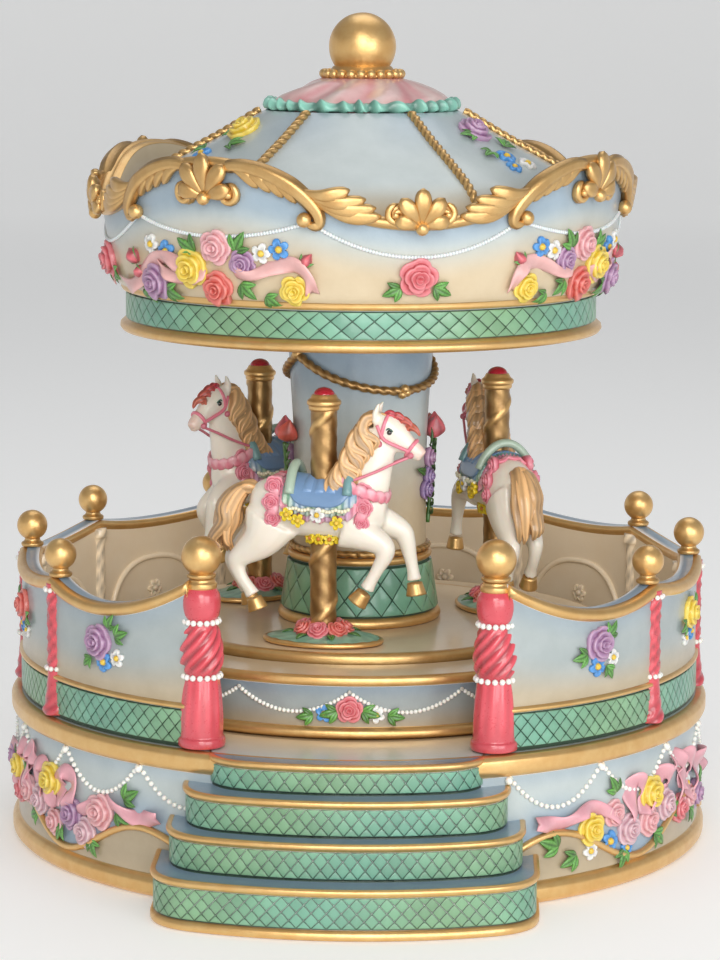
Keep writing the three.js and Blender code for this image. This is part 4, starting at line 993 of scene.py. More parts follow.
def step_plan(radius, half, inset=0, corner=9):
    """Outline of a step, anticlockwise from above: straight sides, an arc about the axis in front, and corners that are
    middle points of quadratic curves."""
    radius, half, corner = radius - inset, half - inset, corner - inset
    front = half - corner
    x = np.linspace(-front, front, 45)
    arc = np.column_stack([x, -np.sqrt(radius**2 - x**2)])
    edge = -sqrt(radius**2 - half**2)
    t = np.linspace(0, 1, 10)[:-1, None]
    bend = (1 - t) ** 2 * [-half, edge + corner] + 2 * t * (1 - t) * [-half, edge] + t**2 * arc[0]
    side = np.column_stack([np.full(5, -half), np.linspace(-sqrt(STEP_BACK**2 - half**2), edge + corner, 6)[:-1]])
    left = np.vstack([side, bend])
    return np.vstack([left, arc, (left * [-1, 1])[::-1]])


class StepWall:
    """Maps (x along, y up, h out) on to a step's riser."""

    def __init__(self, plan, height):
        self.plan, self.height = plan, height
        self.length = np.concatenate([[0], np.cumsum(np.hypot(*np.diff(plan, axis=0).T))])
        along = np.gradient(plan, axis=0)
        along /= np.hypot(*along.T)[:, None]
        self.out = np.column_stack([along[:, 1], -along[:, 0]])

    def __call__(self, local):
        local = np.asarray(local, float)
        x, y = (np.interp(local[..., 0], self.length, self.plan[:, i]) for i in (0, 1))
        u, v = (np.interp(local[..., 0], self.length, self.out[:, i]) for i in (0, 1))
        return np.stack([x + u * local[..., 2], y + v * local[..., 2], self.height + local[..., 1]], -1)


def build_steps():
    """Each step is a stack of rings: its plan drawn in by the inset of each level, with a lattice on its riser."""
    shape = Shape()
    green, tread = shades("lattice_green", "tread_blue")
    levels = (top("front_steps"), *STEP_LEVELS, 0)
    lip = STEP_LIP
    for number, (high, low, radius, half) in enumerate(zip(levels, levels[1:], STEP_RADII, STEP_HALVES)):
        skirt = STEP_SKIRT if number == 3 else 0
        rows = [(0.9, low - (0.3 if number < 3 else 0)), (0.2 if skirt else 1, low + 0.1),
            (0 if skirt else 1, low + 0.5), (0 if skirt else 1, low + skirt * 0.8),
                (0.5 if skirt else 1, low + skirt), (1, low + skirt + 0.3), (1, high - lip - 0.4), (0.3, high - lip),
                (0, high - lip + 0.5), (0, high - 0.5), (0.25, high - 0.1),
                (0.6, high), (1.1, high), (1.3, high - 0.05), (6, high - 0.05)]
        finish = [GILT if skirt else PAINT] * 5 + [PAINT] + [GILT] * 7 + [PAINT, PAINT]
        if skirt:
            rows, finish = [(1.5, low), *rows], [PAINT, *finish]
        grid, colour = [], []
        for (inset, height), kind in zip(rows, finish):
            plan = step_plan(radius, half, inset)
            x = np.linspace(half - inset, inset - half, 22)[1:-1]
            plan = np.vstack([plan, np.column_stack([x, -np.sqrt(STEP_BACK**2 - x**2)])])
            grid.append(np.column_stack([plan, np.full(len(plan), height)]))
            # gilt edges; behind the diamonds the lattice green darkened as painted shade; blue treads; dark brown
            # undersides
            tone = WHITE if kind == GILT else (green * GROOVE_SHADE if inset <= 1 else (tread if height else UNDERSIDE_BROWN))
            colour.append(np.broadcast_to(tone, (len(plan), 3)))
        shape.rings(np.array(grid), np.array(colour), np.array(finish))
        riser = StepWall(step_plan(radius, half, 1), low + skirt + 0.5)
        tall = high - lip - low - skirt - 0.9
        lattice(shape, riser, riser.length[-1], tall, sizes().lattice_width / MM * 0.66, round(tall / 1.9) / 2, green,
            closed=False)
    shape.piece("step_flight", "base", "front_steps")


FENCE_FACE, FENCE_BACK = 79.8, 75.8
GATE_HEIGHT, POST_HEIGHT = 71, 66
GATE_SAG, BAY_SAG = 5.2, 2


def fence_top(angle):
    """Height of the fence's top: straight from post to post, less a parabola's sag, deeper beside the gate."""
    a = np.asarray(angle, float) % 360
    posts = np.array([GATE, *POSTS, 360 - GATE])
    heights = np.array([GATE_HEIGHT] + [POST_HEIGHT] * len(POSTS) + [GATE_HEIGHT])
    sags = np.array([GATE_SAG] + [BAY_SAG] * (len(POSTS) - 1) + [GATE_SAG])
    i = np.clip(np.searchsorted(posts, a, side="right") - 1, 0, len(sags) - 1)
    t = np.clip((a - posts[i]) / (posts[i + 1] - posts[i]), 0, 1)
    return heights[i] + (heights[i + 1] - heights[i]) * t - sags[i] * 4 * t * (1 - t)


FENCE_BAYS = (
    (43, (("rose", 0, 55.6, 3.7, "lilac"), ("leaf", -2.6, 53.6, 4.4, 190), ("leaf", 1.8, 57, 4.2, 50),
    ("daisy", -0.4, 50.6, 2.4, "blue"), ("daisy", 3.2, 52, 2, "white"), ("leaf", 1.6, 50.4, 3.6, -60))),
    (-43, (("rose", -0.8, 54.6, 3.8, "lilac"), ("leaf", 3, 56.4, 4.4, 20), ("leaf", 1.5, 58, 3.8, 60),
    ("daisy", 0.4, 50.2, 2.4, "blue"), ("daisy", 3.4, 51.6, 2.1, "white"), ("leaf", -2.6, 50.6, 3.4, 220))),
)
BAY_ITEMS = (("rose", 0, 56, 3.5, "pink"), ("leaf", 2.6, 57, 4.2, 35), ("leaf", -2.6, 54, 4, 200),
    ("daisy", 1.4, 51.4, 2.2, "blue"), ("daisy", -2.2, 50.6, 2, "white"))


def build_fence():
    """Section swept along the gateway's arc, its top set by the sagging line, with posts, arches and flowers on it."""
    shape = Shape()
    face, back, foot_z = FENCE_FACE, FENCE_BACK, foot("balustrade_wall")
    # painted shade and light: the outer face's pale blue, cream and deep blue are darkened copies; the inner face takes
    # a lightened cream
    blue, cream, deep, green, inside = (shade_of(n) * k for n, k in (("pale_blue", 0.8), ("cream", 0.84),
        ("deep_blue", 0.9), ("lattice_green", 1), ("lit_inside_cream", 1)))
    angle = np.unique(np.concatenate([np.linspace(GATE, 360 - GATE, 300), POSTS]))
    high = fence_top(angle)
    fixed = [(face, foot_z, PAINT), (face, 42.6, PAINT), (face + 0.1, 42.7, GILT), (face + 0.7, 43, GILT),
        (face + 0.7, 43.6, GILT), (face + 0.1, 43.9, GILT)]
    moulding = [(face + 0.05, -2.6), (face + 0.8, -2.2), (face + 1.1, -1.4), (face + 0.9, -0.5), (face, 0),
        (face - 1, 0.25), (back + 1, 0.25), (back, 0),
                (back - 0.6, -0.6), (back - 0.6, -1.4), (back, -2)]
    radius, height, finish, colour = [], [], [], []

    def column(r, z, kind, paint):
        radius.append(np.full(len(angle), float(r)))
        height.append(np.broadcast_to(z, (len(angle),)))
        finish.append(kind)
        colour.append(np.broadcast_to(paint, (len(angle), 3)))

    for r, z, kind in fixed:
        # the band behind the lattice is the lattice green darkened as painted shade
        column(r, z, kind, WHITE if kind == GILT else green * GROOVE_SHADE)
    for t in np.linspace(0, 1, 9):
        z = 44 + (high - 2.7 - 44) * t
        column(face, z, PAINT, mix(mix(cream * 1.05, blue, ramp(0, 0.5, t)), deep, 0.5 * ramp(0.75, 1, t)))
    for r, drop in moulding:
        flat = back + 0.5 < r < face - 0.5
        column(r, high + drop, GILT if not flat else PAINT, WHITE if not flat else deep * 1.1)
    for t in np.linspace(0, 1, 9):
        z = high - 2.2 + (foot_z - high + 2.2) * t
        # inner face: the lightened cream, darker towards the bottom as painted shade
        column(back, z, PAINT, mix(inside * 1.05, inside * 0.9, t))
    grid = polar(np.array(radius).T, angle[:, None], np.array(height).T)
    shape.rings(grid, np.stack(colour, 1), np.array(finish)[None])
    outer = RoundWall([(face, foot_z), (face, 72)], 0)
    cell = sizes().lattice_width / MM
    arc = radians(360 - 2 * GATE) * face
    lattice(shape, on_wall(outer, GATE, foot_z + 0.7), arc, 7.4, cell * 0.7, 2, green, closed=False)
    for post in POSTS:
        bottom = foot_z + 0.4
        profile = np.array([(3.5, bottom), (3.5, bottom + 1.2), (3, bottom + 3), (2.5, bottom + 7.5),
            (2.35, bottom + 9.5), (2.35, 46), (2.3, 52), (2.3, 60), (2.5, 63.2), (2.6, 64.6)])
        profile = through(profile, 46)
        depth = 0.13 * ramp(bottom + 9, bottom + 13, profile[:, 1]) * (1 - ramp(61.5, 63,
            profile[:, 1])) + 0.05 * (1 - ramp(bottom + 3, bottom + 9, profile[:, 1]))
        spot = polar(78.6, post, 0)
        # painted shade: the pilaster is darker towards its foot
        tone = shade_of("rose_pink") * (0.85 + 0.2 * ramp(bottom, bottom + 12, profile[:, 1]))[:, None]
        turned(shape, profile, spot, 30, tone, GLOSS, flutes=5, depth=depth, twist=26)
        for level, size in ((45.2, 2.6), (63.2, 2.75)):
            bead_ring(shape, spot, size, level, 12, 0.62)
        inner = polar(76.3, post, 0)
        turned(shape, through([(2.6, foot_z), (2.4, 37), (1.6, 39), (1.7, 50), (1.6, 60), (2.3, 62), (2.2, 64)], 30),
            inner, 20, inside * 1.05, PAINT, flutes=4, depth=0.08, twist=22)
    posts = np.array([GATE, *POSTS, 360 - GATE])
    inner_wall = RoundWall([(back, foot_z), (back, 72)], 0)
    for first, last in zip(posts[:-1], posts[1:]):
        middle = (first + last) / 2
        reach_deg = (last - first) / 2 - 3.2
        t = np.linspace(-1, 1, 36)
        x = np.radians(t * reach_deg) * back
        y = 4.5 + 15.5 * np.sqrt(np.clip(1 - np.abs(t) ** 2.4, 0, 1))
        arch = inner_wall.place(np.column_stack([x, y, np.full(36, -0.2)]), middle, foot_z)
        # painted highlight: the arches and their daisies are lighter copies of the inner cream than the face behind
        shape.rings(sweep(arch, 0.75, 0.75, 8, across=(0, 0, 1)), inside * 1.12, PAINT)
        place = FlatPlace(polar(back + 0.2, middle, 46), -polar(1, middle + 90, 0), (0, 0, 1))
        daisy(shape, place, 2.4, inside * 1.15, petals=6, eye=inside)
    spray_colour = ("yellow", "pink", "lilac", "coral")
    for number, post in enumerate(zip(POSTS[:-1], POSTS[1:])):
        middle = sum(post) / 2
        items = tuple((k, a, z, s, spray_colour[number % 4] if k == "rose" else e) for k, a, z, s, e in BAY_ITEMS)
        spray(shape, outer, items, middle, mirror=number % 2 == 1)
    for middle, items in FENCE_BAYS:
        spray(shape, outer, items, middle)
    shape.piece("fence_ring", "base", "balustrade_wall")


def gilt_ball(name, node_name, body, centre, radius, neck):
    """Gilt ball on a collared neck that stands on the axis of its own CAD node."""
    shape = Shape()
    low = foot(node_name)
    middle = top(node_name) - radius
    profile = eased([(neck * 0.9, low), (neck * 1.35, low + 0.1), (neck * 1.42, low + 0.9), (neck * 1, low + 1.4),
        (neck * 0.92, low + 2),
                     (neck * 1.12, low + 2.3), (neck * 1.1, low + 2.8), (neck * 0.8, middle - radius * 0.75)], 0.25)
    profile = profile[profile[:, 1] <= middle - radius * 0.6]
    # painted shade: the neck and the underside of the ball are a darker gilt than its top
    turned(shape, profile, centre, 28, rgb(0.75, 0.75, 0.75), GILT)
    points = BALL[0] * radius
    points = points * (1 + 0.004 * np.sin(BALL[0][:, :1] * 9) * np.cos(BALL[0][:, 1:2] * 7))
    tone = 0.8 + 0.2 * ramp(-1, -0.2, BALL[0][:, 2])
    shape.stamp(BALL, (points + [*centre, middle])[None], np.repeat(tone[:, None], 3, 1)[None], GILT)
    shape.piece(name, body, node_name)


def middle_of(node_name):
    """Middle of a node, in mm from the carousel's axis."""
    low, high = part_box(node_name)
    return ((low.x + high.x) / 2 / MM - AXIS_X, (low.y + high.y) / 2 / MM - AXIS_Y)


def build_gate_posts():
    """Turned posts: a folded skirt, then a body whose flutes wind at an even rate."""
    pink = shade_of("rose_pink")
    for side in ("left", "right"):
        shape = Shape()
        node_name = f"newel_{side}"
        centre, low = middle_of(node_name), foot(node_name)
        skirt = through([(4.6, low), (5.1, low + 0.2), (5.25, low + 1), (5.1, low + 1.9), (4.75, low + 2.3),
            (4.7, low + 3.2), (4.62, low + 7), (4.35, low + 11), (4, low + 14),
                         (3.85, 49.4), (3.6, 50.6)], 44)
        folds = 0.022 * ramp(low + 2.4, low + 6, skirt[:, 1])
        # painted shade: the skirt is darker at its foot
        turned(shape, skirt, centre, 60, pink * (0.92 + 0.2 * ramp(low, low + 8, skirt[:, 1]))[:, None], GLOSS,
            flutes=11, depth=folds, twist=0.6)
        body = through([(3.5, 49.6), (3.9, 50.6), (4.35, 52.4), (4.55, 54.6), (4.3, 57.2), (3.75, 59.8), (3.4, 61.2),
            (3.4, 62.2), (3.9, 63.4), (4.2, 65.6), (4, 67.8), (3.2, 69.2)], 60)
        z = body[:, 1]
        # painted shade: the body is darker at its lower end
        turned(shape, body, centre, 60, pink * (0.9 + 0.12 * ramp(50, 56, z))[:, None], GLOSS, flutes=9,
               depth=0.085 * ramp(50.2, 52.2, z) * (1 - ramp(59.5, 61.4, z)), twist=13)
        for level, size in ((49.9, 4.1), (61.9, 3.75)):
            bead_ring(shape, centre, size, level, 16, 0.72)
        turned(shape, eased([(3.1, 68.9), (3.4, 69.3), (3.4, 70.2), (2.9, 70.7), (2.9, 71.2)], 0.2), centre, 32,
            rgb(0.9, 0.9, 0.9), GILT)
        shape.piece(f"gate_post_{side}", "base", node_name)
        gilt_ball(f"gate_ball_{side}", f"newel_ball_{side}", "base", centre, 4.4, 2.3)


def build_finials():
    """One gilt ball on each of the nine fence posts."""
    for number in range(1, 10):
        node_name = f"post_finial_{number}"
        gilt_ball(f"fence_ball_{number}", node_name, "base", middle_of(node_name), 3.6, 1.9)


def build_plinth():
    """Turned drum with strings of pearls and five flower sprays."""
    shape = Shape()
    low, high = foot("plinth"), top("plinth")
    edge, hole = reach("plinth"), 47.6
    wall = edge - 1.6
    blue, cream, deep = shades("pale_blue", "cream", "deep_blue")
    skin(shape, [
        (outline(0, low, (hole, 0), (edge - 0.8, 0), (edge, 0.6), (edge, 1.7), (edge - 0.6, 2.3), (wall, 2.5)), GILT,
        rgb(0.9, 0.9, 0.9)),
        # painted shade: the wall's cream and blue are darkened copies, deepening to deep blue under the top moulding
        (wall_rows((wall, low + 2.6), (wall, high - 2.4), 12), PAINT, lambda r, z,
        a: mix(mix(cream * 0.62, blue * 0.6, ramp(low + 2, low + 8, z)), deep * 0.7,
        0.7 * ramp(high - 6, high - 2.4, z))),
        (outline(wall, high, (0, -2.3), (0.5, -2), (0.7, -1.3), (0.5, -0.3), (-0.4, 0)), GILT, WHITE),
        # painted shade: the top is darker at its inner edge by the turntable, and the hole's wall darker still
        ([(wall - 0.6, high), (hole + 1.2, high)], PAINT, lambda r, z,
        a: mix(shade_of("floor_brown") * 0.7, shade_of("floor_brown"), ramp(47, 52, r))),
        ([(hole + 1, high), (hole, high - 0.5), (hole, low + 0.2)], PAINT, shade_of("floor_brown") * 0.4),
    ], 300)
    face = RoundWall([(wall, low), (wall, high)], 0)
    bead = sizes().pearl_radius / MM * 0.85
    for left in np.arange(0, 360, 24):
        span = radians(24) * wall
        garland(shape, on_wall(face, left + 12, high - 3.6), (-span / 2, 0), (span / 2, 0), 4.6, bead * 1.8, bead)
    for shift in np.arange(0, 360, 72):
        spray(shape, face, (("leaf", -2.5, low + 6.2, 4.2, 195), ("leaf", 2.6, low + 6.2, 4.2, -15),
            ("daisy", -5.2, low + 5.6, 2.1, "blue"), ("daisy", 5.6, low + 5.4, 2, "white"),
                            ("rose", 0, low + 6.6, 2.8, "pink"), ("leaf", -7.6, low + 5.2, 3.8, 190),
                            ("leaf", 8, low + 5.2, 3.8, -8)), shift)
    shape.piece("plinth_drum", "base", "plinth")


def build_turntable():
    """Turned disc; its boards are a slow cosine of the angle."""
    shape = Shape()
    edge, low, high = reach("turntable"), foot("turntable"), top("turntable")
    brown = shade_of("floor_brown")

    def boards(radius, height, angle):
        # painted shade: the boards are darker towards the column
        return mix(brown * 0.82, brown * 1.05, ramp(20, 42,
            radius)) * (0.94 + 0.06 * np.cos(np.radians(angle) * 3))[..., None]

    skin(shape, [
        # painted shade: the underside is a darkened brown
        ([(8, low), (edge - 0.8, low)], PAINT, brown * 0.6),
        (outline(edge, 0, (-0.4, low), (0, low + 0.5), (0, high - 0.8), (-0.6, high - 0.05), (-1.6, high)), GILT,
        rgb(0.9, 0.9, 0.9)),
        (wall_rows((edge - 2, high), (8, high), 14), PAINT, boards),
    ], 240)
    shape.piece("turntable_disc", "carousel", "turntable")


# ---------------------------------------------------------------- column, mounds and poles


def build_column():
    """Turned lattice drum, then the column with two rope swags, each half a turn, and three bouquets."""
    blue, cream, green = shades("deep_blue", "cream", "lattice_green")
    low, high = foot("column_drum"), top("column_drum")
    shape = Shape()
    skin(shape, [
        (outline(0, low, (17.6, 0), (19, 0.1), (19.4, 0.9), (19.2, 1.8), (18.4, 2.4)), GILT, WHITE),
        # band behind the lattice: the lattice green darkened as painted shade
        (wall_rows((18.2, low + 2.5), (16.5, high - 2), 6), PAINT, green * GROOVE_SHADE),
        (outline(0, high, (16.6, -1.9), (17.1, -1.4), (17.1, -0.5), (16.4, 0)), GILT, WHITE),
        ([(16, high), (13, high)], PAINT, cream),
    ], 120, loop=False)
    band = RoundWall([(18.25, low + 2.7), (16.55, high - 2.2)], 0, even=17.4)
    lattice(shape, on_wall(band, 0, low + 2.8), 2 * pi * 17.4, high - low - 5.2, 5.4, 1.5, green, rise=0.55)
    shape.piece("lattice_drum", "carousel", "column_drum")
    shape = Shape()
    low, high = foot("column"), top("column")
    profile = [(15.7, low), (15.7, low + 22), (16, low + 32), (16.8, low + 44), (17.1, high - 1)]
    skin(shape, [
        ([(12, low), (15.4, low)], PAINT, cream),
        # cream low, pale blue above; the deep blue towards the top is painted shadow under the canopy
        (list(map(tuple, through(profile, 40))), PAINT, lambda r, z, a: mix(cream,
        mix(shade_of("pale_blue"), blue, ramp(low + 30, high - 4, z)), ramp(low + 8, low + 34, z))),
        ([(17, high), (12, high)], PAINT, blue),
    ], 120, loop=False)
    wall = RoundWall(profile, 40)
    rope(shape, polar(16.1, np.arange(0, 360.1, 3), low + 0.9), 0.75, (0, 0, 1), 2.2)
    for start in (-53, 127):
        t = np.linspace(0, 1, 110)
        z = 113.5 - 4 * 8 * t * (1 - t)
        line = wall.place(np.column_stack([0 * t, 0 * t, 0 * t + 0.75]), start + 180 * t, z)
        # painted shadow: the swag ropes and their beads under the canopy are a darker gilt than the rope at the foot
        rope(shape, line, 0.95, (0, 0, 1), 2.4, rgb(0.55, 0.55, 0.55))
        beads(shape, wall.place(np.array([[0.6, -0.2, 1.3], [-0.6, -0.6, 1.3], [0, 0.7, 1.4]]), start + 90, 105.4),
            1.05, (0.8, 0.8, 0.8), GILT, BALL)
        beads(shape, wall.place(np.array([[0, 0, 1]]), start, 113.6), 1.3, (0.8, 0.8, 0.8), GILT, BALL)
    for shift in (100, 280, 190):
        palm = shade_of("leaf") * 0.6
        place = on_wall(wall, shift, 72)
        cord(shape, place, [(0, 0, 0.6), (0.6, 6, 1.2), (1.2, 14, 2), (1.6, 20, 2.6)], 24, 0.5, 0.5, 6, palm, LEAF)
        for k in range(9):
            at = 2 + 2 * k
            for side in (1, -1):
                leaf(shape, moved(place, 0.1 * at, at, 0.5 + 0.06 * at), 5.2 - 0.28 * k, 1.5, 90 - side * (62 - 2 * k),
                    palm, 0.4, 1)
        for degrees, colour in ((90, "pink"), (60, "coral"), (118, "pink")):
            bud(shape, moved(place, 1.6, 20.5, 1.6), 6, degrees, flower_colour(colour))
        for x, y, kind in ((-5.5, 12, "violet"), (-4.6, 16.4, "lilac"), (-7.4, 9, "violet"), (6.2, 7, "pink")):
            rose(shape, moved(place, x, y, 0.6), 2.3, flower_colour(kind), x)
        for x, y, d in ((-6, 6, 120), (-3, 9, 60), (-8, 13, 160), (-4, 19, 100), (4, 4, 40)):
            leaf(shape, moved(place, x, y, 0.4), 4.6, 2.2, d, palm * 0.8)
    shape.piece("column_shaft", "carousel", "column")


def station_place(angle, radius=34):
    """Carries (forward, inward, up) at a horse's station to the carousel: forward is the way it turns."""
    forward, inward = polar(1, angle + 90, 0), -polar(1, angle, 0)
    origin = polar(radius, angle, 0)
    return lambda local: origin + np.asarray(local)[..., :1] * forward + np.asarray(local)[...,
        1:2] * inward + np.asarray(local)[..., 2:3] * np.array([0, 0, 1])


def build_mounds():
    """Elliptical rings that rise to a dome with low sine bumps, ringed by roses and leaves."""
    green = shade_of("mound_green")
    leaf_colour = shade_of("leaf") * 0.7
    for number, angle in enumerate(STATIONS, 1):
        shape = Shape()
        place = station_place(angle)
        low, high = foot(f"mound_{number}"), top(f"mound_{number}")
        turn = around(72)
        rows, colour, finish = [], [], []
        for scale, z, kind in ((0.9, 0, GILT), (0.985, 0.05, GILT), (1, 0.35, GILT), (1, 0.9, GILT), (0.97, 1.25, GILT),
                (0.93, 1.35, PAINT), (0.84, 1.75, PAINT),
                               (0.72, 2.2, PAINT), (0.6, 2.6, PAINT), (0.48, 2.9, PAINT), (0.36, 3.1, PAINT),
                               (0.24, 3.2, PAINT)):
            bump = 0 if kind == GILT else 0.16 * np.sin(turn * 11 + z * 9) * np.cos(turn * 7 - z * 13)
            rows.append(np.column_stack([14 * scale * np.cos(turn), 9 * scale * np.sin(turn),
                low + z * (high - low) / 3.3 + bump + 0 * turn]))
            # painted light and shade: the bumps are lighter on their crests and darker in their dips
            tint = np.ones(72) if kind == GILT else 0.85 + 1.3 * np.broadcast_to(bump, 72)
            colour.append((WHITE if kind == GILT else green) * tint[:, None])
            finish.append(kind)
        shape.rings(place(np.array(rows)), np.array(colour), np.array(finish))
        for k in range(7):
            a = radians(k * 360 / 7 + 12)
            at = np.array([5 * cos(a), 4.2 * sin(a), high + 0.2])
            flat = FlatPlace(at, (cos(a + 1.57), sin(a + 1.57), 0), (-cos(a) * 0.75, -sin(a) * 0.75, 0.65))
            rose(shape, within(place, flat), 2.3, flower_colour("pink" if k % 2 else "coral"), k)
            b = a + pi / 7
            lay = FlatPlace(np.array([6 * cos(b), 4.8 * sin(b), high - 0.9]), (cos(b), sin(b), -0.2),
                (-sin(b), cos(b), 0))
            leaf(shape, within(place, lay), 3.6, 2.2, 0, leaf_colour)
        shape.piece(f"flower_mound_{number}", "carousel", f"mound_{number}")


def build_poles():
    """Tube with a band that winds round it every 15 mm, under a turned collar and a jewel."""
    for number, angle in enumerate(STATIONS, 1):
        shape = Shape()
        place = station_place(angle)
        low, high = foot(f"pole_{number}"), top(f"pole_{number}")
        cap = high - 4.8
        z = np.linspace(low, cap, 120)
        turn = around(36)
        spiral = np.cos(turn[None] - z[:, None] * 2 * pi / 15)
        band = ramp(0.86, 0.99, spiral)
        r = 3 + 0.34 * band + 0.05 * np.sin(3 * turn[None] + z[:, None] * 1.7)
        tone = 0.34 + 0.1 * np.sin(5 * turn[None] + z[:, None] * 0.9) + 0.45 * band
        grid = np.stack([r * np.cos(turn), r * np.sin(turn), z[:, None] + 0 * r], -1)
        shape.rings(place(grid), np.repeat(np.clip(tone, 0, 1)[..., None], 3, 2), GILT)
        top_profile = eased(outline(0, cap, (3, -0.6), (3.5, -0.2), (3.5, 0.6), (3.9, 0.9), (3.9, 1.7), (3.2, 2.2),
            (2.8, 3), (2.6, 3.2)), 0.25)
        centre = place(np.zeros(3))[:2]
        turned(shape, top_profile, centre, 36, rgb(0.95, 0.95, 0.95), GILT)
        dome = [(2.5 * cos(a), cap + 2.9 + 1.9 * sin(a)) for a in np.radians(np.linspace(0, 84, 9))]
        turned(shape, [(2.4, cap + 2.5)] + dome, centre, 28, rgb(0.45, 0.01, 0.03), JEWEL)
        shape.piece(f"twisted_pole_{number}", "carousel", f"pole_{number}")


# ---------------------------------------------------------------- horses

NECK = ((6.5, 31.5, 4.9, 7.4), (9.4, 36.5, 3.9, 5.6), (11.2, 41, 3, 4.5), (12.4, 45.2, 2.5, 3.9),
    (13.3, 49.3, 2.1, 3.2))
TRUNK = ((-17.2, 31, 1.4, 2.2), (-15.6, 31, 4, 5.2), (-11, 31, 5.7, 6.8), (-5, 30.6, 5.8, 6.2), (2, 30.3, 5.9, 6.2),
    (8, 30.6, 5.5, 6.8),
         (12, 30.8, 4.4, 5.8), (14.6, 30.6, 1.8, 2.8))
HEAD = ((12, 50, 1.7, 2.4), (14, 49.9, 2.3, 3.1), (16.6, 48.3, 2.1, 2.9), (19.2, 46.3, 1.6, 2.1),
    (21.4, 44.7, 1.45, 1.8), (22.9, 43.6, 1.1, 1.3))
LEGS = (
    (-3.3, ((6, 27.5, 2.8, 4.4), (10.5, 25.6, 2.4, 3), (14.6, 23.6, 1.8, 2.1), (15.2, 21.6, 1.6, 1.7),
    (13.4, 18, 1.15, 1.25), (11.8, 15, 1.15, 1.2), (11, 13.4, 1.4, 1.5)), (10.4, 12.6, 8.7, 10.2)),
    (3.3, ((8, 29, 2.8, 4.4), (13.5, 27.8, 2.3, 2.9), (17.4, 26, 1.8, 2.1), (18.6, 23.6, 1.6, 1.7),
    (19.6, 19.4, 1.15, 1.25), (20.2, 16.4, 1.15, 1.2), (20.4, 14.8, 1.4, 1.5)), (20.5, 14.2, 20.9, 11.4)),
    (-3.3, ((-11.5, 28, 3.2, 5.6), (-14, 23.5, 2.7, 3.8), (-18.2, 20, 1.8, 2.3), (-19.6, 18.2, 1.5, 1.8),
    (-18.6, 15, 1.15, 1.3), (-16.6, 12.2, 1.15, 1.25), (-15.7, 10.8, 1.4, 1.5)), (-15.4, 10.2, -14.4, 7.6)),
    (3.3, ((-12, 28, 3.2, 5.6), (-16, 23.5, 2.7, 3.8), (-20.6, 19.6, 1.8, 2.3), (-22.2, 17.6, 1.5, 1.8),
    (-21.4, 14.6, 1.15, 1.3), (-19.8, 12, 1.15, 1.25), (-19, 10.8, 1.4, 1.5)), (-18.7, 10.2, -18, 7.6)),
)


FIGURE_CELL = 0.42


def limb(stations, side=0, count=26, cols=16, fat=1):
    """Tube of ellipses through (forward, up, half width, half depth) stations, in the upright plane at one side."""
    fine = through(stations, count) * [1, 1, fat, fat]
    path = np.column_stack([fine[:, 0], np.broadcast_to(side, (count,)), fine[:, 1]])
    return sweep(path, np.abs(fine[:, 2]), np.abs(fine[:, 3]), cols, across=(0, 1, 0))


def cast_figure():
    """The horse's body as one closed mesh: limbs that overlap are joined on a fine grid of cells, then smoothed."""
    solid = Shape()
    solid.rings(limb(TRUNK, 0, 40, 24))
    solid.rings(limb(NECK, 0, 30, 20, 1.08))
    solid.rings(limb(HEAD, 0, 30, 18, 1.1))
    solid.rings(limb(((13.4, 46.4, 1.3, 1.8), (14.8, 45.8, 1.5, 2), (16.4, 45.6, 1.2, 1.4), (18, 45.2, 0.9, 0.9)), 0,
        16))
    for side, stations, _ in LEGS:
        lean = np.interp(np.linspace(0, 1, 26), [0, 0.4, 1], [side * 0.75, side, side * 1.05])
        solid.rings(limb(stations, lean, fat=1.22))
    for side in (-1, 1):
        ear = np.array([(12.2, side * 1.1, 50.6), (12.2, side * 1.6, 52.8), (12.8, side * 1.8, 54.6),
            (13.4, side * 1.7, 55.9)])
        solid.rings(sweep(through(ear, 14), tapered(14, 1, 1.05, 0.3), tapered(14, 0.8, 0.75, 0.25), 10,
            across=(0, 1, 0)))
        eye = BALL[0] * [1.1, 0.8, 0.8] + [15.3, side * 1.75, 49]
        solid.stamp(BALL, eye[None], WHITE, PAINT)
        solid.stamp(BALL, (BALL[0] * [0.9, 0.55, 0.7] + [21.6, side * 0.9, 44.9])[None], WHITE, PAINT)
    mesh = bpy.data.meshes.new("figure")
    points = np.concatenate(solid.points) * MM
    faces = [tuple(f) for block in solid.quads + solid.tris for f in block.tolist()]
    mesh.from_pydata(points.tolist(), [], faces)
    outward(mesh)
    holder = bpy.data.objects.new("figure", mesh)
    bpy.context.scene.collection.objects.link(holder)
    cells = holder.modifiers.new("cells", "REMESH")
    cells.mode, cells.voxel_size = "VOXEL", FIGURE_CELL * MM
    soft = holder.modifiers.new("soft", "SMOOTH")
    soft.iterations, soft.factor = 6, 0.5
    done = bpy.data.meshes.new_from_object(holder.evaluated_get(bpy.context.evaluated_depsgraph_get()))
    count, sides = len(done.vertices), len(done.polygons)
    points = np.zeros(count * 3, np.float32)
    done.vertices.foreach_get("co", points)
    total = np.zeros(sides, np.int32)
    done.polygons.foreach_get("loop_total", total)
    corners = np.zeros(len(done.loops), np.int32)
    done.loops.foreach_get("vertex_index", corners)
    start = np.concatenate([[0], np.cumsum(total)[:-1]])
    quads = corners[start[total == 4][:, None] + np.arange(4)]
    tris = corners[start[total == 3][:, None] + np.arange(3)]
    bpy.data.objects.remove(holder)
    for used in (mesh, done):
        bpy.data.meshes.remove(used)
    return points.reshape(-1, 3).astype(float) / MM, quads, tris


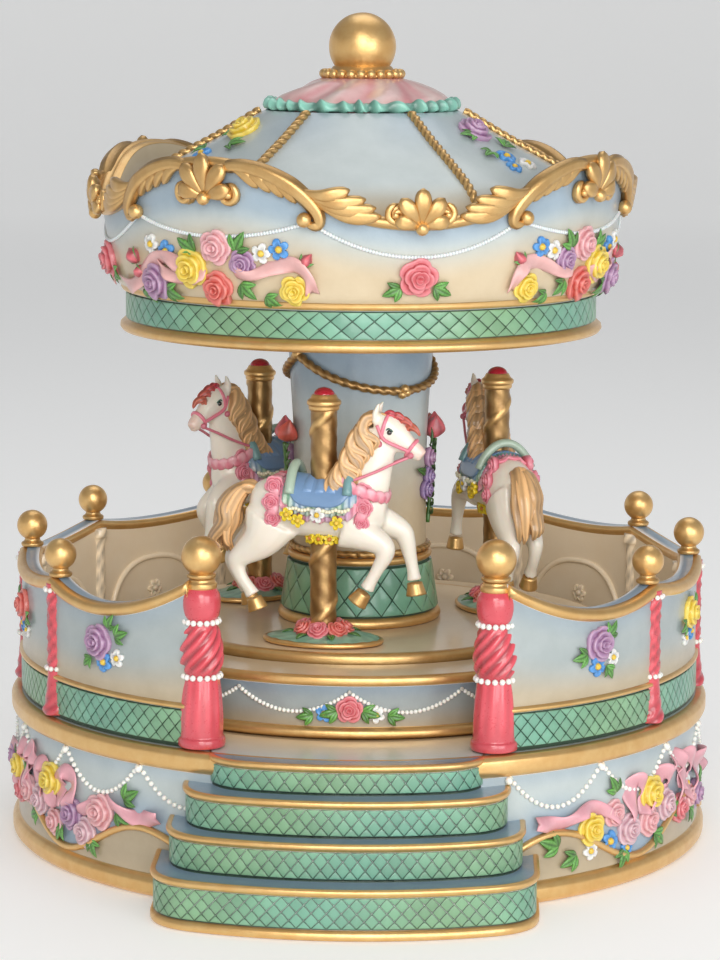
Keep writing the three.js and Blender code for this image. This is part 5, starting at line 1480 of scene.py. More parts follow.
def over_back(x, angle, lift):
    """Point on the horse's trunk: at x along it, at an angle from the spine down its sides, lifted off the skin."""
    fine = through(TRUNK, 80)
    zc, w, h = (np.interp(x, fine[:, 0], fine[:, i]) for i in (1, 2, 3))
    turn = np.radians(angle)
    return np.stack(np.broadcast_arrays(x, (w + lift) * np.sin(turn), zc + (h + lift) * np.cos(turn)), -1)


def cloth(shape, place, front, behind, drop, lift, thick, paint, scallops=0, deep=1.2, finish=PAINT, frill=0):
    """Saddle cloth: a sheet over the back whose lower edge falls in scallops, whose corners are rounded and whose
    edges rise and fall in a frill; closed below."""
    rows, half = 60, 40
    t = np.linspace(-1, 1, rows)
    corner = (1 - np.abs(t) ** 5)[:, None]
    edge = drop * (0.72 + 0.28 * corner)
    if scallops:
        edge = edge + deep * np.abs(np.cos(scallops * pi / 2 * t))[:, None] ** 0.7 * 4
    s = np.linspace(-1, 1, half)[None]
    x = (behind + front) / 2 + (front - behind) / 2 * t[:, None] * (1 + 0.05 * np.abs(s))
    ruffle = frill * (np.sin(38 * t[:, None]) * np.abs(s) ** 6 + np.sin(60 * s) * np.abs(t[:, None]) ** 8)
    upper = over_back(x + 0 * s, s * edge, lift + ruffle + thick * (1 - 0.5 * np.abs(s) ** 8))
    lower = over_back(x + 0 * s, (s * edge)[:, ::-1], lift + ruffle[:, ::-1] - 0.25)
    grid = np.concatenate([upper, lower], 1)
    tone = paint(t[:, None] + 0 * s, s + 0 * t[:, None]) if callable(paint) else np.broadcast_to(paint, (rows, half, 3))
    # painted shade: the underside of the cloth is a darkened copy of its top
    shape.rings(place(grid), np.concatenate([tone, tone[:, ::-1] * 0.6], 1), finish)


def lock(shape, place, points, thick, paint, finish=PAINT, grooves=5):
    """Lock of hair: a tube that tapers to a point, with grooves that wind slowly along it."""
    count = 24
    line = through(points, count)
    size = tapered(count, thick * 0.8, thick, thick * 0.25)
    grid = sweep(line, size, size * 0.8, 20, across=(0, 1, 0))
    turn = around(20, 0.5)
    wave = np.cos(grooves * turn[None] + 0.8 + 2.2 * np.linspace(0, 1, count)[:, None])
    grid = line[:, None] + (grid - line[:, None]) * (1 + 0.13 * wave[..., None])
    # painted shade and highlight: darker in the grooves, lighter on the strands
    shape.rings(place(grid), np.asarray(paint) * (0.86 + 0.24 * wave)[..., None], finish)


def build_horses():
    """Cast figure with its mane, tail, tack, cloths and flowers, one at each station."""
    points, quads, tris = cast_figure()
    figure = (points, quads, tris)
    rose_white = rgb(0.9, 0.62, 0.66)
    white, belly_shade, hair, pink = shade_of("horse_white"), rgb(0.62, 0.46, 0.34), shade_of("mane"), shade_of("bridle_pink")
    blue, teal, lilac = shade_of("saddle_blue"), shade_of("lattice_green") * 1.15, rgb(0.55, 0.36, 0.56)
    table = top("turntable")
    # painted shade: the belly between the legs is tinted a darker brown
    body = mix(white, belly_shade, 0.35 * ramp(-1, -5, points[:, 2] - 26) * ramp(-16, -4,
        points[:, 0]) * (1 - ramp(2, 10, points[:, 0])))
    body = mix(body, rgb(0.75, 0.38, 0.33), 0.5 * ramp(20.4, 23.4, points[:, 0]) * ramp(40, 42, points[:, 2]))
    for number, angle in enumerate(STATIONS, 1):
        shape = Shape()
        ground = station_place(angle)
        place = moved(ground, 0, 0, table)
        shape.stamp(figure, place(points)[None], body[None], SKIN)
        for side, _, (x0, z0, x1, z1) in LEGS:
            path = np.array([(x0, side * 1.05, z0), ((x0 + x1) / 2, side * 1.05, (z0 + z1) / 2), (x1, side * 1.05, z1)])
            cord(shape, place, path, 8, np.linspace(1.7, 2.2, 8), np.linspace(1.75, 2.4, 8), 14, (0.9, 0.9, 0.9), GILT,
                (0, 1, 0))
        for k in range(13):
            t = k / 12
            cx, cz = np.interp(t, [0, 0.3, 0.65, 1], [11.4, 8.6, 6.6, 3.4]), np.interp(t, [0, 0.3, 0.65, 1],
                [51.6, 47.6, 42.2, 37.4])
            for side in (-1, 1):
                sway = 0.8 * sin(k * 1.9 + side)
                wide = float(np.interp(cz, [36, 44, 52], [4.7, 3.6, 2.7]))
                lock(shape, place, [(cx + 0.8, side * 0.5, cz + 1), (cx - 1.3, side * 0.6 * wide, cz + 0.2),
                    (cx - 0.9 + sway, side * wide, cz - 2.6), (cx + 1.3 - 0.5 * sway, side * wide * 1.02, cz - 4.6),
                                    (cx + 0.7 + sway, side * wide * 1.04, cz - 7)], 1.65,
                                    hair * (0.9 + 0.22 * sin(k * 2.3)), PAINT)
        lock(shape, place, [(12.6, 0, 52.4), (13.8, -0.4, 52.6), (15.2, -0.7, 51.6), (16.2, -0.6, 50.6)], 0.9, hair)
        lock(shape, place, [(12.6, 0, 52), (14, 0.6, 52.2), (15.4, 0.9, 51.2), (16.2, 0.9, 50.3)], 0.8, hair * 1.1)
        for k in range(7):
            a = k * 2 * pi / 7
            dy, dx = 1.1 * sin(a), 1 * cos(a)
            bend = 0.9 * sin(k * 1.7)
            lock(shape, place, [(-15.4, dy * 0.4, 34.8), (-19 + dx, dy, 34.8 + dx * 0.4),
                (-22 + dx * 1.4, dy * 1.7, 31), (-22.6 + dx * 1.6 + bend, dy * 2.1, 27),
                                (-24.2 + dx * 1.8 - bend, dy * 2.1, 23), (-22.8 + dx * 2, dy * 1.8, 18.8 + k * 0.4)], 2,
                                hair * (0.9 + 0.2 * cos(k * 2.1)), PAINT)
        for side in (-1, 1):
            beads(shape, place(np.array([[15.7, side * 2.2, 49.1]])), 0.62, (0.015, 0.012, 0.012), JEWEL, BALL)
            lid = np.array([(14.7, side * 2.15, 49.2), (15.5, side * 2.42, 49.95), (16.5, side * 2.2, 49.3)])
            cord(shape, place, lid, 9, 0.22, 0.22, 6, (0.05, 0.12, 0.09), PAINT)
            beads(shape, place(np.array([[22.6, side * 0.75, 44.3]])), 0.26, (0.25, 0.08, 0.07), PAINT)
            cheek = np.array([(12.8, side * 2.2, 50.6), (14.4, side * 2.5, 47.6), (17.4, side * 2.05, 46),
                (20.2, side * 1.75, 44.9)])
            cord(shape, place, cheek, 24, 0.42, 0.42, 8, pink, RIBBON)
            rein = np.array([(20.6, side * 1.8, 43.8), (16.5, side * 2.8, 42), (12.8, side * 3.7, 40.2),
                (8.2, side * 4.6, 38.4), (4.5, side * 4.2, 37.2)])
            cord(shape, place, rein, 30, 0.34, 0.34, 8, pink * 0.9, RIBBON)
            beads(shape, place(np.array([[20.5, side * 1.9, 44], [13.4, side * 2.5, 46.4]])), 0.75, pink * 0.8, PETAL,
                BALL)
        for x, z, w, h, tilt in ((20.3, 45.4, 1.85, 2.25, 0.62), (14.2, 49.6, 2.55, 3.4, 0.25)):
            turn = np.linspace(0, 2 * pi, 41)[:-1]
            loop_path = np.column_stack([x + h * np.cos(turn) * sin(tilt), w * np.sin(turn),
                z + h * np.cos(turn) * cos(tilt)])
            hoop(shape, place(loop_path), 0.45, 0.36, 8, pink, RIBBON,
                place((cos(tilt), 0, -sin(tilt))) - place((0, 0, 0)))
        for k, (x, z) in enumerate(((15.2, 52.6), (16.8, 52.2), (18.4, 51.2), (19.9, 49.8))):
            lock(shape, place, [(x - 1.4, 0, z - 1.6), (x - 0.3, 0.2 * k, z + 0.4), (x + 1.4, 0, z - 0.1),
                (x + 2.4, 0, z - 1.6)], 1.1, rgb(0.62, 0.07 + 0.03 * k, 0.1), PETAL)
        cloth(shape, place, 9.4, -8.4, 100, 0.45, 0.5, lambda t, s: mix(mix(lilac, pink, 0.5 + 0.5 * np.cos(t * 14)),
            rgb(0.85, 0.62, 0.68), 0.6 * np.abs(s) ** 12), 5, 1.6, frill=0.45)
        cloth(shape, place, 8.7, -7.7, 88, 1, 0.5, lambda t, s: mix(mix(teal, blue, 0.5 + 0.5 * np.sin(t * 9)),
            rgb(0.8, 0.8, 0.66), 0.75 * np.abs(np.sin(t * 19)) * np.abs(s) ** 5), 6, 1.3, frill=0.4)
        # painted light and shade: the seat cloth is lighter along the spine and darker down the sides
        cloth(shape, place, 7.2, -6.2, 76, 1.5, 0.5, lambda t, s: mix(blue * 1.1, blue * 0.85, np.abs(s)), 0)
        for x, tall, colour in ((7, 2.4, mix(teal, blue, 0.4)), (-6.4, 2.4, mix(teal, rgb(0.7, 0.74, 0.66), 0.45))):
            arc = np.linspace(-62, 62, 26)
            line = over_back(np.full(26, x), arc, 1.6)
            line[:, 2] += tall * np.cos(np.radians(arc)) ** 2
            shape.rings(place(sweep(line, 1.15, 1, 12)), colour, PAINT)
        seat = np.linspace(-52, 52, 18)
        for x in (-2.4, 0.4, 3.2):
            shape.rings(place(sweep(over_back(np.full(18, x), seat, 1.5), 1.5, 0.75, 10)), blue * 1.05, PAINT)
        for side in (-1, 1):
            edge = np.linspace(-6.6, 7.6, 21)
            beads(shape, place(over_back(edge, side * (80 + 3 * np.abs(np.cos(edge))), 2)), 0.5, (0.84, 0.8, 0.6),
                PEARL)
            for k, (x, a, colour) in enumerate(((0.5, 88, "yellow"), (-4, 100, "yellow"), (5, 100, "yellow"),
                    (-6.6, 92, "yellow"))):
                spot = place(over_back(x, side * a, 1.9))
                out = place(over_back(x, side * a, 2.9)) - spot
                flat = facing(spot, out)
                daisy(shape, flat, 1.7 if k else 1.9, flower_colour(colour) if k else flower_colour("white"), turn=k)
            for x, z, size in ((10.2, 35.6, 2.1), (10.6, 32.2, 2), (10, 28.8, 1.8), (-10.4, 36.4, 2.1),
                    (-10.8, 32.8, 2), (-10.4, 29.2, 1.9), (-10, 26.2, 1.6)):
                y = side * float(np.interp(x, [-11, -5, 8, 12], [5.7, 5.8, 5.5, 4.6])) * sqrt(max(0.1,
                    1 - ((z - 31) / 7.6) ** 2))
                out = np.array([0.1, side, (z - 31) * 0.07])
                flat = facing((x, y, z), out)
                rose(shape, within(place, flat), size, pink, x + z, 20)
        turn = np.linspace(0, 2 * pi, 121)[:-1]
        along = 6.9 * np.cos(turn)
        collar = np.column_stack([8.6 - 0.93 * along, 5.4 * np.sin(turn),
            36.4 + 0.34 * along + 0.3 * np.sin(17 * turn)])
        hoop(shape, place(collar), 1.25, 0.55, 10, mix(pink, rose_white, 0.3 + 0.3 * np.sin(17 * turn))[:, None],
            RIBBON,
             place((0.3, 0, 1)) - place((0, 0, 0)))
        for x, lift in ((-10.4, 0.25), (10, 0.35)):
            sides = np.linspace(-112, 112, 90)
            strap = over_back(np.full(90, x) + 0.35 * np.sin(sides / 5), sides, lift + 0.15 * np.sin(sides / 4))
            shape.rings(place(sweep(strap, 1.25, 0.5, 10, across=(1, 0, 0))),
                mix(pink, rose_white, 0.25 + 0.25 * np.sin(sides / 5))[:, None], RIBBON)
        turn = np.radians(np.arange(0, 360, 30) + 15)
        fringe = np.column_stack([1 + 4.6 * np.cos(turn), 3.4 * np.sin(turn), np.full(12, 24.4)])
        for k, spot in enumerate(fringe):
            out = np.array([cos(turn[k]), sin(turn[k]), -0.6])
            flat = facing(spot, out)
            daisy(shape, within(place, flat), 1.5, flower_colour("yellow"), turn=k, eye=(0.62, 0.22, 0.03))
        shape.piece(f"carousel_horse_{number}", "carousel", f"horse_{number}")


# ---------------------------------------------------------------- canopy

VALLEY = 14
WALL_OUT = ((129.4, 56.4), (130.6, 57.3), (136, 58.6), (142, 59.6), (147.6, 60.4), (154, 61.1), (160.6, 61.7))


def crown_height(angle):
    """Height of the scalloped rim: a cubic curve from each valley up to the peak 45 degrees on."""
    a = np.abs((np.asarray(angle, float) - VALLEY + 45) % 90 - 45)
    t = np.linspace(0, 1, 200)
    x = 3 * (1 - t) ** 2 * t * 24.6 + 3 * (1 - t) * t**2 * 29.5 + t**3 * 44.7
    z = 147.6 + 12.8 * (3 * (1 - t) * t**2 + t**3)
    return np.interp(63.2 * np.sin(np.radians(a)), x, z)


CANOPY_SPRAY = (
    ("leaf", -5.6, 140.6, 5.2, 120), ("leaf", 4.6, 140.2, 5.6, 30), ("leaf", -6.4, 133.6, 4.8, 225),
    ("leaf", 15, 131.2, 5, 200), ("leaf", 21, 130.4, 5.4, -20),
    ("leaf", -12, 131, 4, 210), ("bud", 25, 136.6, 4.4, 40), ("bud", 23.2, 134.2, 3.8, 5),
    ("bud", -20.5, 138, 3.4, 130),
    ("rose", -1, 141.4, 3.7, "pale"), ("rose", 6.2, 136.4, 4.2, "yellow"), ("rose", -0.4, 132.4, 3.7, "coral"),
    ("rose", -7.2, 138, 3, "lilac"),
    ("rose", 18.6, 132.6, 3.9, "lilac"), ("rose", -18.6, 132.6, 3.1, "yellow"), ("daisy", 13.4, 139.6, 2.7, "blue"),
    ("daisy", 18.4, 141, 2.5, "white"),
    ("daisy", -15.6, 141.4, 2.5, "blue"), ("daisy", -11.6, 140.4, 2.4, "white"))
VALLEY_SPRAY = (("leaf", -3.6, 133.4, 4.4, 205), ("leaf", 3.6, 133.4, 4.4, -25), ("rose", 0, 135.6, 4, "pink"))
CANOPY_RIBBONS = (
    (((8, 136.4), (12, 138.6), (17, 137.6), (23, 133.6), (28, 131.2), (34.5, 130.9)), 4.6),
    (((-5, 136.6), (-9, 135.6), (-14, 137.4), (-19, 138.2), (-22, 135.6), (-22.4, 132.4)), 3.8),
    (((2, 136), (7, 133.4), (12, 134.6), (16, 136.4)), 3.4))


SHELL_LOBES = ((-72, 0.7), (-36, 0.92), (0, 1), (36, 0.92), (72, 0.7))


def gilded_crown(shape, wall):
    """Gilt rim: a moulding along the scalloped edge; on each slope a long leaf that leaves the peak's shell and curls
    under, then a fan of lobes above the rim; a shell at each peak and a smaller one at each valley, each between two
    volutes. The slopes are laid out once, as degrees from the valley and heights above the rim there, and mirrored."""
    angle = np.arange(0, 360, 1.2)
    height = crown_height(angle)
    line = wall.place(np.column_stack([0 * angle, 0 * angle, 0 * angle + 0.1]), angle, height - 0.6)
    turn = around(12, 0.5)
    # painted light and shade: the moulding is lighter on its top and bottom edges and darker on its inner and outer
    # faces
    hoop(shape, line, 1.35, 1.55, 12, np.repeat((0.66 + 0.3 * np.abs(np.cos(turn)))[:, None], 3, 1)[None])
    gold = (0.95, 0.95, 0.95)
    for number in range(4):
        valley = VALLEY + 90 * number
        for hand in (1, -1):
            centre = valley + hand * 22.5
            place = on_wall(wall, centre, 150)

            def at(degrees, up, out=1):
                where = valley + hand * degrees
                return (radians(where - centre) * 60.6, float(crown_height(where)) + up - 150, out)

            for k in range(4):
                lobe(shape, place, at(40 - 2.9 * k, -0.9), at(33.4 - 2.7 * k, -3.7 + 0.25 * k, 0.6), 2.5, -0.12 * hand,
                    1.1)
            stem(shape, place, [at(42, -1.4), at(37, -0.1), at(32, 0.4), at(27, 0.3), at(23.2, -0.8), at(20.8, -3),
                at(20.9, -5.4), at(23.2, -6.5, 1.6)],
                 (1.3, 2, 0.9))
            beads(shape, place(np.array(at(23.6, -5.6, 1.3))), 1.7, gold, GILT, KNOB)
            for k, (degrees, up) in enumerate(((8.2, 0.9), (9.2, 2.5), (11.2, 3.9), (14.4, 5))):
                lobe(shape, place, at(21 + 0.9 * k, -0.6 + 0.4 * k, 0.9 + 0.15 * k), at(degrees, up, 1.2), 3.3,
                    0.1 * hand, 1.5)
        low = on_wall(wall, valley, float(crown_height(valley)))
        high = on_wall(wall, valley + 45, float(crown_height(valley + 45)))
        for place, start, reach_up, wide, knob, side in ((low, -0.9, 8.4, 3.7, 2.3, (5.2, 1.8)),
                (high, -8, 9.6, 4, 2.4, (5.6, -7.4))):
            for lean, scale in SHELL_LOBES:
                way = np.array([sin(radians(lean)), cos(radians(lean))]) * reach_up * scale
                lobe(shape, place, (way[0] * 0.12, start + way[1] * 0.12, 1.5), (way[0], start + way[1], 1.7),
                    wide * (0.8 + 0.2 * scale), 0, 1.5)
            for hand in (1, -1):
                volute(shape, place, (hand * side[0], side[1]), knob, 90, -hand)
            beads(shape, place(np.array([0, start - 0.2, 2.3])), 1.5, gold, GILT, KNOB)


def build_canopy_wall():
    """Section turned about the axis whose top follows the scalloped rim, with its band, pearls and flowers."""
    shape = Shape()
    low = foot("canopy_wall")
    blue, cream, deep, green = shades("pale_blue", "cream", "deep_blue", "lattice_green")
    cols = 300
    angle = np.arange(cols) * 360 / cols
    rim = crown_height(angle)
    heights, radii = np.array(WALL_OUT).T
    inner_z, inner_r = np.array([(143.2, 57.2), (147.6, 57.4), (160.6, 58.7)]).T
    radius, height, finish, colour = [], [], [], []

    def ring(r, z, kind, paint):
        radius.append(np.broadcast_to(np.asarray(r, float), (cols,)))
        height.append(np.broadcast_to(np.asarray(z, float), (cols,)))
        finish.append(kind)
        colour.append(np.broadcast_to(paint, (cols, 3)))

    gold = WHITE
    for r, z in ((52, 0), (55, 0), (55.9, 0.2), (56.4, 0.9), (56.3, 1.7), (55.6, 2.3), (54.8, 2.6)):
        ring(r, low + z, GILT, gold)
    for z in np.linspace(2.8, 9.1, 4):
        # band behind the lattice: the lattice green darkened as painted shade
        ring(54.7, low + z, PAINT, green * GROOVE_SHADE)
    for r, z in ((54.9, 9.3), (55.9, 9.6), (56.2, 10.2), (56, 10.7)):
        ring(r, low + z, GILT, gold)
    for t in np.linspace(0.01, 0.985, 18):
        z = low + 10.8 + (rim - low - 10.8) * t
        swag = 146.2 - 3.2 * np.cos(np.radians(4 * (angle - VALLEY)))
        tone = mix(cream * 1.1, blue, ramp(-9, 0.5, z - swag))
        tone = mix(tone, deep, 0.75 * ramp(-2.5, 2.5, z - swag))
        ring(np.interp(z, heights, radii), z, PAINT, tone)
    for r, z in ((0, 0), (-0.4, 0.35), (-1.4, 0.5), (-2.4, 0.35), (-2.9, 0)):
        ring(np.interp(rim, heights, radii) + r, rim + z - 0.2, GILT, gold * 0.9)
    # painted shade: the inside of the wall is a darkened cream, darker further down
    for t in np.linspace(0.02, 1, 4):
        z = rim + (143.4 - rim) * t
        ring(np.interp(z, inner_z, inner_r), z, PAINT, mix(cream * 0.95, cream * 0.75, np.full(cols, t)))
    for r, z in ((55, 143.2), (54.2, 142.6), (53.4, 135), (52.3, 128), (51.8, 121)):
        ring(r, z, PAINT, cream * 0.6)
    grid = polar(np.array(radius), angle[None], np.array(height))
    shape.rings(grid, np.array(colour), np.array(finish), loop=True)
    band = RoundWall([(54.75, low + 2.7), (54.75, low + 9.2)], 0)
    lattice(shape, on_wall(band, 0, low + 2.9), 2 * pi * 54.75, 6.1, sizes().lattice_width / MM, 1.5, green)
    wall = RoundWall([(r, z) for z, r in WALL_OUT], 60)
    gilded_crown(shape, wall)
    bead = sizes().pearl_radius / MM
    for number in range(4):
        valley, peak = VALLEY + 90 * number, VALLEY + 45 + 90 * number
        for centre, half, high, dip in ((valley, 22.5, 147.2, 7.4), (peak, 20.5, 146.8, 3.2)):
            span = radians(half) * 60.2
            garland(shape, on_wall(wall, centre, high), (-span, 0), (span, 0), dip, bead * 1.15, bead * 0.8,
                (0.7, 0.74, 0.75))
        mirror = number % 2 == 0
        for path, width in CANOPY_RIBBONS:
            strip(shape, wall, path, width, shade_of("ribbon"), peak, not mirror, 0.7, 1.6)
        spray(shape, wall, CANOPY_SPRAY, peak, not mirror)
        spray(shape, wall, VALLEY_SPRAY, valley)
    shape.piece("canopy_drum", "carousel", "canopy_wall")


def build_roof():
    """Bell roof with six ropes down it, the streaked cap whose folds are sines of the angle, and the top ball."""
    shape = Shape()
    blue, cream, deep = shades("pale_blue", "cream", "deep_blue")
    profile = [(56.8, 146.4), (54, 149.8), (49.8, 153.8), (45, 156.8), (39.6, 159.8), (33.6, 163), (28, 166.3),
        (24.6, 168.4), (22.4, 169.5)]
    line = through(profile, 60)
    under = [(22, 166.4), (28, 163), (39.6, 156.8), (49, 151), (53.6, 146.4), (54.6, 143.4)]

    def sky(r, z, a):
        tone = mix(cream, blue, ramp(148, 156, z))
        return mix(tone, deep, 0.55 * ramp(158, 169, z) * (0.6 + 0.4 * np.cos(np.radians(6 * (a - 30)))))

    # painted shade: the roof's underside is a darkened cream
    skin(shape, [([(56.6, 143.4), (56.8, 145)], PAINT, cream), (list(map(tuple, line)), PAINT, sky),
        (under, PAINT, cream * 0.6)], 300)
    wall = RoundWall(profile, 80)
    for spoke in range(6):
        angle = 30 + 60 * spoke
        z = np.linspace(169, 148.6, 130)
        path = wall.place(np.column_stack([0 * z, 0 * z, 0 * z + 0.45]), angle, z)
        rope(shape, path, sizes().rope_radius / MM, polar(1, angle + 90, 0), 2)
    for angle, colour in ((60, "lilac"), (180, "pink"), (300, "yellow")):
        spray(shape, wall, (("leaf", 5, 161.6, 5.2, 20), ("leaf", -5.4, 164, 4.4, 170),
            ("rose", -0.6, 165, 3.9, colour), ("daisy", -3.6, 159.6, 2.6, "blue"),
                            ("daisy", 2.6, 158, 2.4, "white"), ("daisy", -6.4, 157.6, 2.1, "blue"),
                            ("leaf", -8, 160.6, 4.2, 200)), angle)
    shape.piece("bell_roof", "carousel", "canopy_roof")

    shape = Shape()
    low, high = foot("roof_cap"), top("roof_cap")
    pink, pale = shade_of("cap_pink"), rgb(0.68, 0.56, 0.52)
    turn = around(144)
    dome = through([(20.4, low), (20.8, low + 1.4), (19.4, low + 3), (17.4, low + 4.1), (15, low + 5.2),
        (12.2, low + 6.5), (9.4, high - 0.1)], 30)
    wind = turn[None] * 7 + 1.6 * np.sin(turn * 2)[None] + 0.22 * dome[:, :1]
    folds = np.sin(wind) * ramp(9.4, 17, dome[:, :1])
    r = dome[:, :1] + 0.3 * folds
    z = dome[:, 1:] + 0.55 * folds
    streak = np.clip(0.42 + 0.34 * np.sin(wind + 0.6) + 0.16 * np.sin(turn[None] * 23 + 0.5 * dome[:, :1]), 0, 1)
    shape.rings(np.stack([r * np.sin(turn), -r * np.cos(turn), z], -1), mix(pink, pale, streak), RIBBON)
    ruffle_rows, ruffle_paint = [], []
    green = shade_of("ruffle_green")
    turn = around(360)
    for t in np.linspace(0, 2 * pi, 15)[:-1]:
        swell = 1 + 0.35 * np.sin(turn * 11 + 1)
        wave = np.sin(turn * 30 + 1.4 * np.sin(turn * 7))
        r = 21.2 + 1.2 * cos(t) + 0.75 * swell * wave * (0.5 + 0.5 * cos(t))
        z = low + 1.2 + 1.15 * sin(t) + 0.85 * swell * np.cos(turn * 30 + 1.4 * np.sin(turn * 7)) * cos(t - 0.6)
        ruffle_rows.append(np.stack([r * np.sin(turn), -r * np.cos(turn), z], -1))
        # painted light and shade: the ruffle's outward folds are lighter and its inward folds darker
        ruffle_paint.append(green * (0.8 + 0.35 * wave)[:, None])
    shape.rings(np.array(ruffle_rows)[::-1], np.array(ruffle_paint)[::-1], PAINT, loop=True)
    shape.piece("streaked_cap", "carousel", "roof_cap")

    shape = Shape()
    low, high = foot("top_finial"), top("top_finial")
    ball = reach("top_finial")
    turned(shape, eased(outline(0, low, (8.6, -0.1), (9.2, 0.3), (8.8, 1.2), (7.6, 1.6), (6.8, 2.6), (5.6, 3)), 0.25),
        (0, 0), 64, rgb(0.85, 0.85, 0.85), GILT)
    bead_ring(shape, (0, 0), 8.9, low + 0.9, 24, 1.15, (0.9, 0.9, 0.9), GILT, ball_solid(12, 7))
    ball = (high - low - 1) / 2 if ball > 8.5 else ball
    fine = ball_solid(56, 35)
    dents = 1 + 0.003 * np.sin(fine[0][:, :1] * 8) * np.cos(fine[0][:, 2:] * 6)
    # painted shade: the ball's underside is a darker gilt than its top, as is the collar under it
    tone = 0.78 + 0.22 * ramp(-1, -0.3, fine[0][:, 2])
    shape.stamp(fine, (fine[0] * ball * dents + [0, 0, high - ball * 1.003])[None],
        np.repeat(tone[:, None], 3, 1)[None], GILT)
    shape.piece("top_ball", "carousel", "top_finial")


def build_ceiling():
    """Turned disc with three gilt hoops."""
    shape = Shape()
    low, high, edge = foot("canopy_ceiling"), top("canopy_ceiling"), reach("canopy_ceiling")
    cream = shade_of("cream")
    skin(shape, [
        # painted shade: the ceiling darkens towards its rim, and its hidden top is a darker cream still
        (wall_rows((15, low + 0.4), (edge - 2, low + 0.4), 12), PAINT, lambda r, z,
        a: mix(cream, cream * 0.8, ramp(15, 50, r))),
        ([(edge - 1.5, low), (edge, low + 0.1), (edge, high)], GILT, rgb(0.9, 0.9, 0.9)),
        ([(edge - 1, high), (15, high)], PAINT, cream * 0.5),
    ], 160)
    for radius in (22, 34, 46):
        angle = np.arange(0, 360, 3)
        path = polar(radius, angle, low + 0.35)
        hoop(shape, path, 0.5, 0.3, 8, (0.9, 0.9, 0.9))
    shape.piece("ceiling_disc", "carousel", "canopy_ceiling")


# ---------------------------------------------------------------- movement and stage

METALS = {
    "turned_brass": ("spring_barrel", "barrel_cap", "pin_cylinder", "winding_key"),
    "bright_steel": ("music_comb", "comb_screw_1", "comb_screw_2", "ratchet_click", "ratchet_wheel", "winding_arbor",
    "mainspring", "output_shaft",
                     "cover_screw_1", "cover_screw_2", "cover_screw_3", "movement_screw_1", "movement_screw_2",
                     "movement_screw_3"),
    "cast_zinc": ("movement_bedplate", "governor_cock"),
    "moulded_nylon": ("thrust_washer", "bottom_cover", "cylinder_wheel", "governor_wheel", "governor_fan", "drive_hub"),
}


def finish_movement():
    """Gives each solid of the movement its metal or moulding."""
    for name, nodes in METALS.items():
        material = finish_of(name)
        for node_name in nodes:
            mesh = frame["nodes"][node_name].data
            mesh.materials.clear()
            mesh.materials.append(material)


FLOOR_GAP = 0.0002
LIGHTS = (  # name, place, width, watts, colour
    ("key_light", (0.02, -0.98, 0.6), 0.5, 4.7, (1, 0.97, 0.93)),
    ("fill_light", (0.66, -0.92, 0.3), 0.6, 4.4, (0.97, 0.98, 1)),
    ("low_light", (0.1, -1.1, 0.16), 0.45, 2.3, (1, 0.98, 0.95)),
    ("top_light", (0.05, 0.35, 1), 0.7, 2, (1, 1, 1)))
LENS, SENSOR = 117.6, 36
EYE, AIM_HEIGHT, ROLL = (0.0248, -0.7339, 0.1941), 0.0824, 0.325


def build_stage():
    """Round floor that rises in a quarter circle at its far edge, soft lamps that look at the middle, and the
    camera."""
    scene = bpy.context.scene
    bend = np.radians(np.linspace(0, 90, 13))
    profile = np.array([(0.001, 0), (0.4, 0), (1.2, 0), *zip(2.2 + 0.45 * np.sin(bend), 0.45 - 0.45 * np.cos(bend)),
        (2.65, 0.8)])
    turn = np.radians(np.arange(0, 360, 5))
    points = np.stack([profile[:, :1] * np.sin(turn), -profile[:, :1] * np.cos(turn),
        profile[:, 1:] + 0 * turn[None] - FLOOR_GAP], -1)
    index = np.arange(len(profile) * 72).reshape(len(profile), 72)
    right = np.roll(index, -1, 1)
    faces = np.stack([index[:-1], index[1:], right[1:], right[:-1]], -1)[:, :, ::-1].reshape(-1, 4)
    mesh = bpy.data.meshes.new("floor")
    mesh.from_pydata(points.reshape(-1, 3).tolist(), [], faces.tolist())
    mesh.polygons.foreach_set("use_smooth", np.ones(len(faces), bool))
    floor = bpy.data.objects.new("floor", mesh)
    scene.collection.objects.link(floor)
    material, _, shader = start_material("pale_floor")
    shader.inputs["Base Color"].default_value = (0.84, 0.84, 0.83, 1)
    shader.inputs["Roughness"].default_value = 0.7
    shader.inputs["Emission Color"].default_value = (1, 1, 1, 1)
    shader.inputs["Emission Strength"].default_value = 0.24
    mesh.materials.append(material)
    world = bpy.data.worlds.new("soft_room")
    world.use_nodes = True
    world.node_tree.nodes["Background"].inputs["Color"].default_value = (0.95, 0.97, 1, 1)
    world.node_tree.nodes["Background"].inputs["Strength"].default_value = 0.31
    scene.world = world
    middle = Vector((0, AXIS_Y * MM, 0.09))
    for name, place, wide, power, colour in LIGHTS:
        lamp = bpy.data.lights.new(name, "AREA")
        lamp.size, lamp.energy, lamp.color = wide, power, colour
        holder = bpy.data.objects.new(name, lamp)
        holder.location = place
        holder.rotation_euler = (middle - Vector(place)).to_track_quat("-Z", "Y").to_euler()
        scene.collection.objects.link(holder)
    camera = bpy.data.cameras.new("camera")
    camera.lens, camera.sensor_width, camera.sensor_fit = LENS, SENSOR, "AUTO"
    camera.clip_start = 0.01
    holder = bpy.data.objects.new("camera", camera)
    eye = Vector((EYE[0], EYE[1] + AXIS_Y * MM, EYE[2]))
    aim = Vector((0, AXIS_Y * MM, AIM_HEIGHT))
    turn = (aim - eye).to_track_quat("-Z", "Y").to_matrix().to_4x4()
    holder.matrix_world = Matrix.Translation(eye) @ turn @ Matrix.Rotation(radians(ROLL), 4, "Z")
    scene.collection.objects.link(holder)
    scene.camera = holder
    scene.view_settings.view_transform = "Standard"


# ---------------------------------------------------------------- add-on


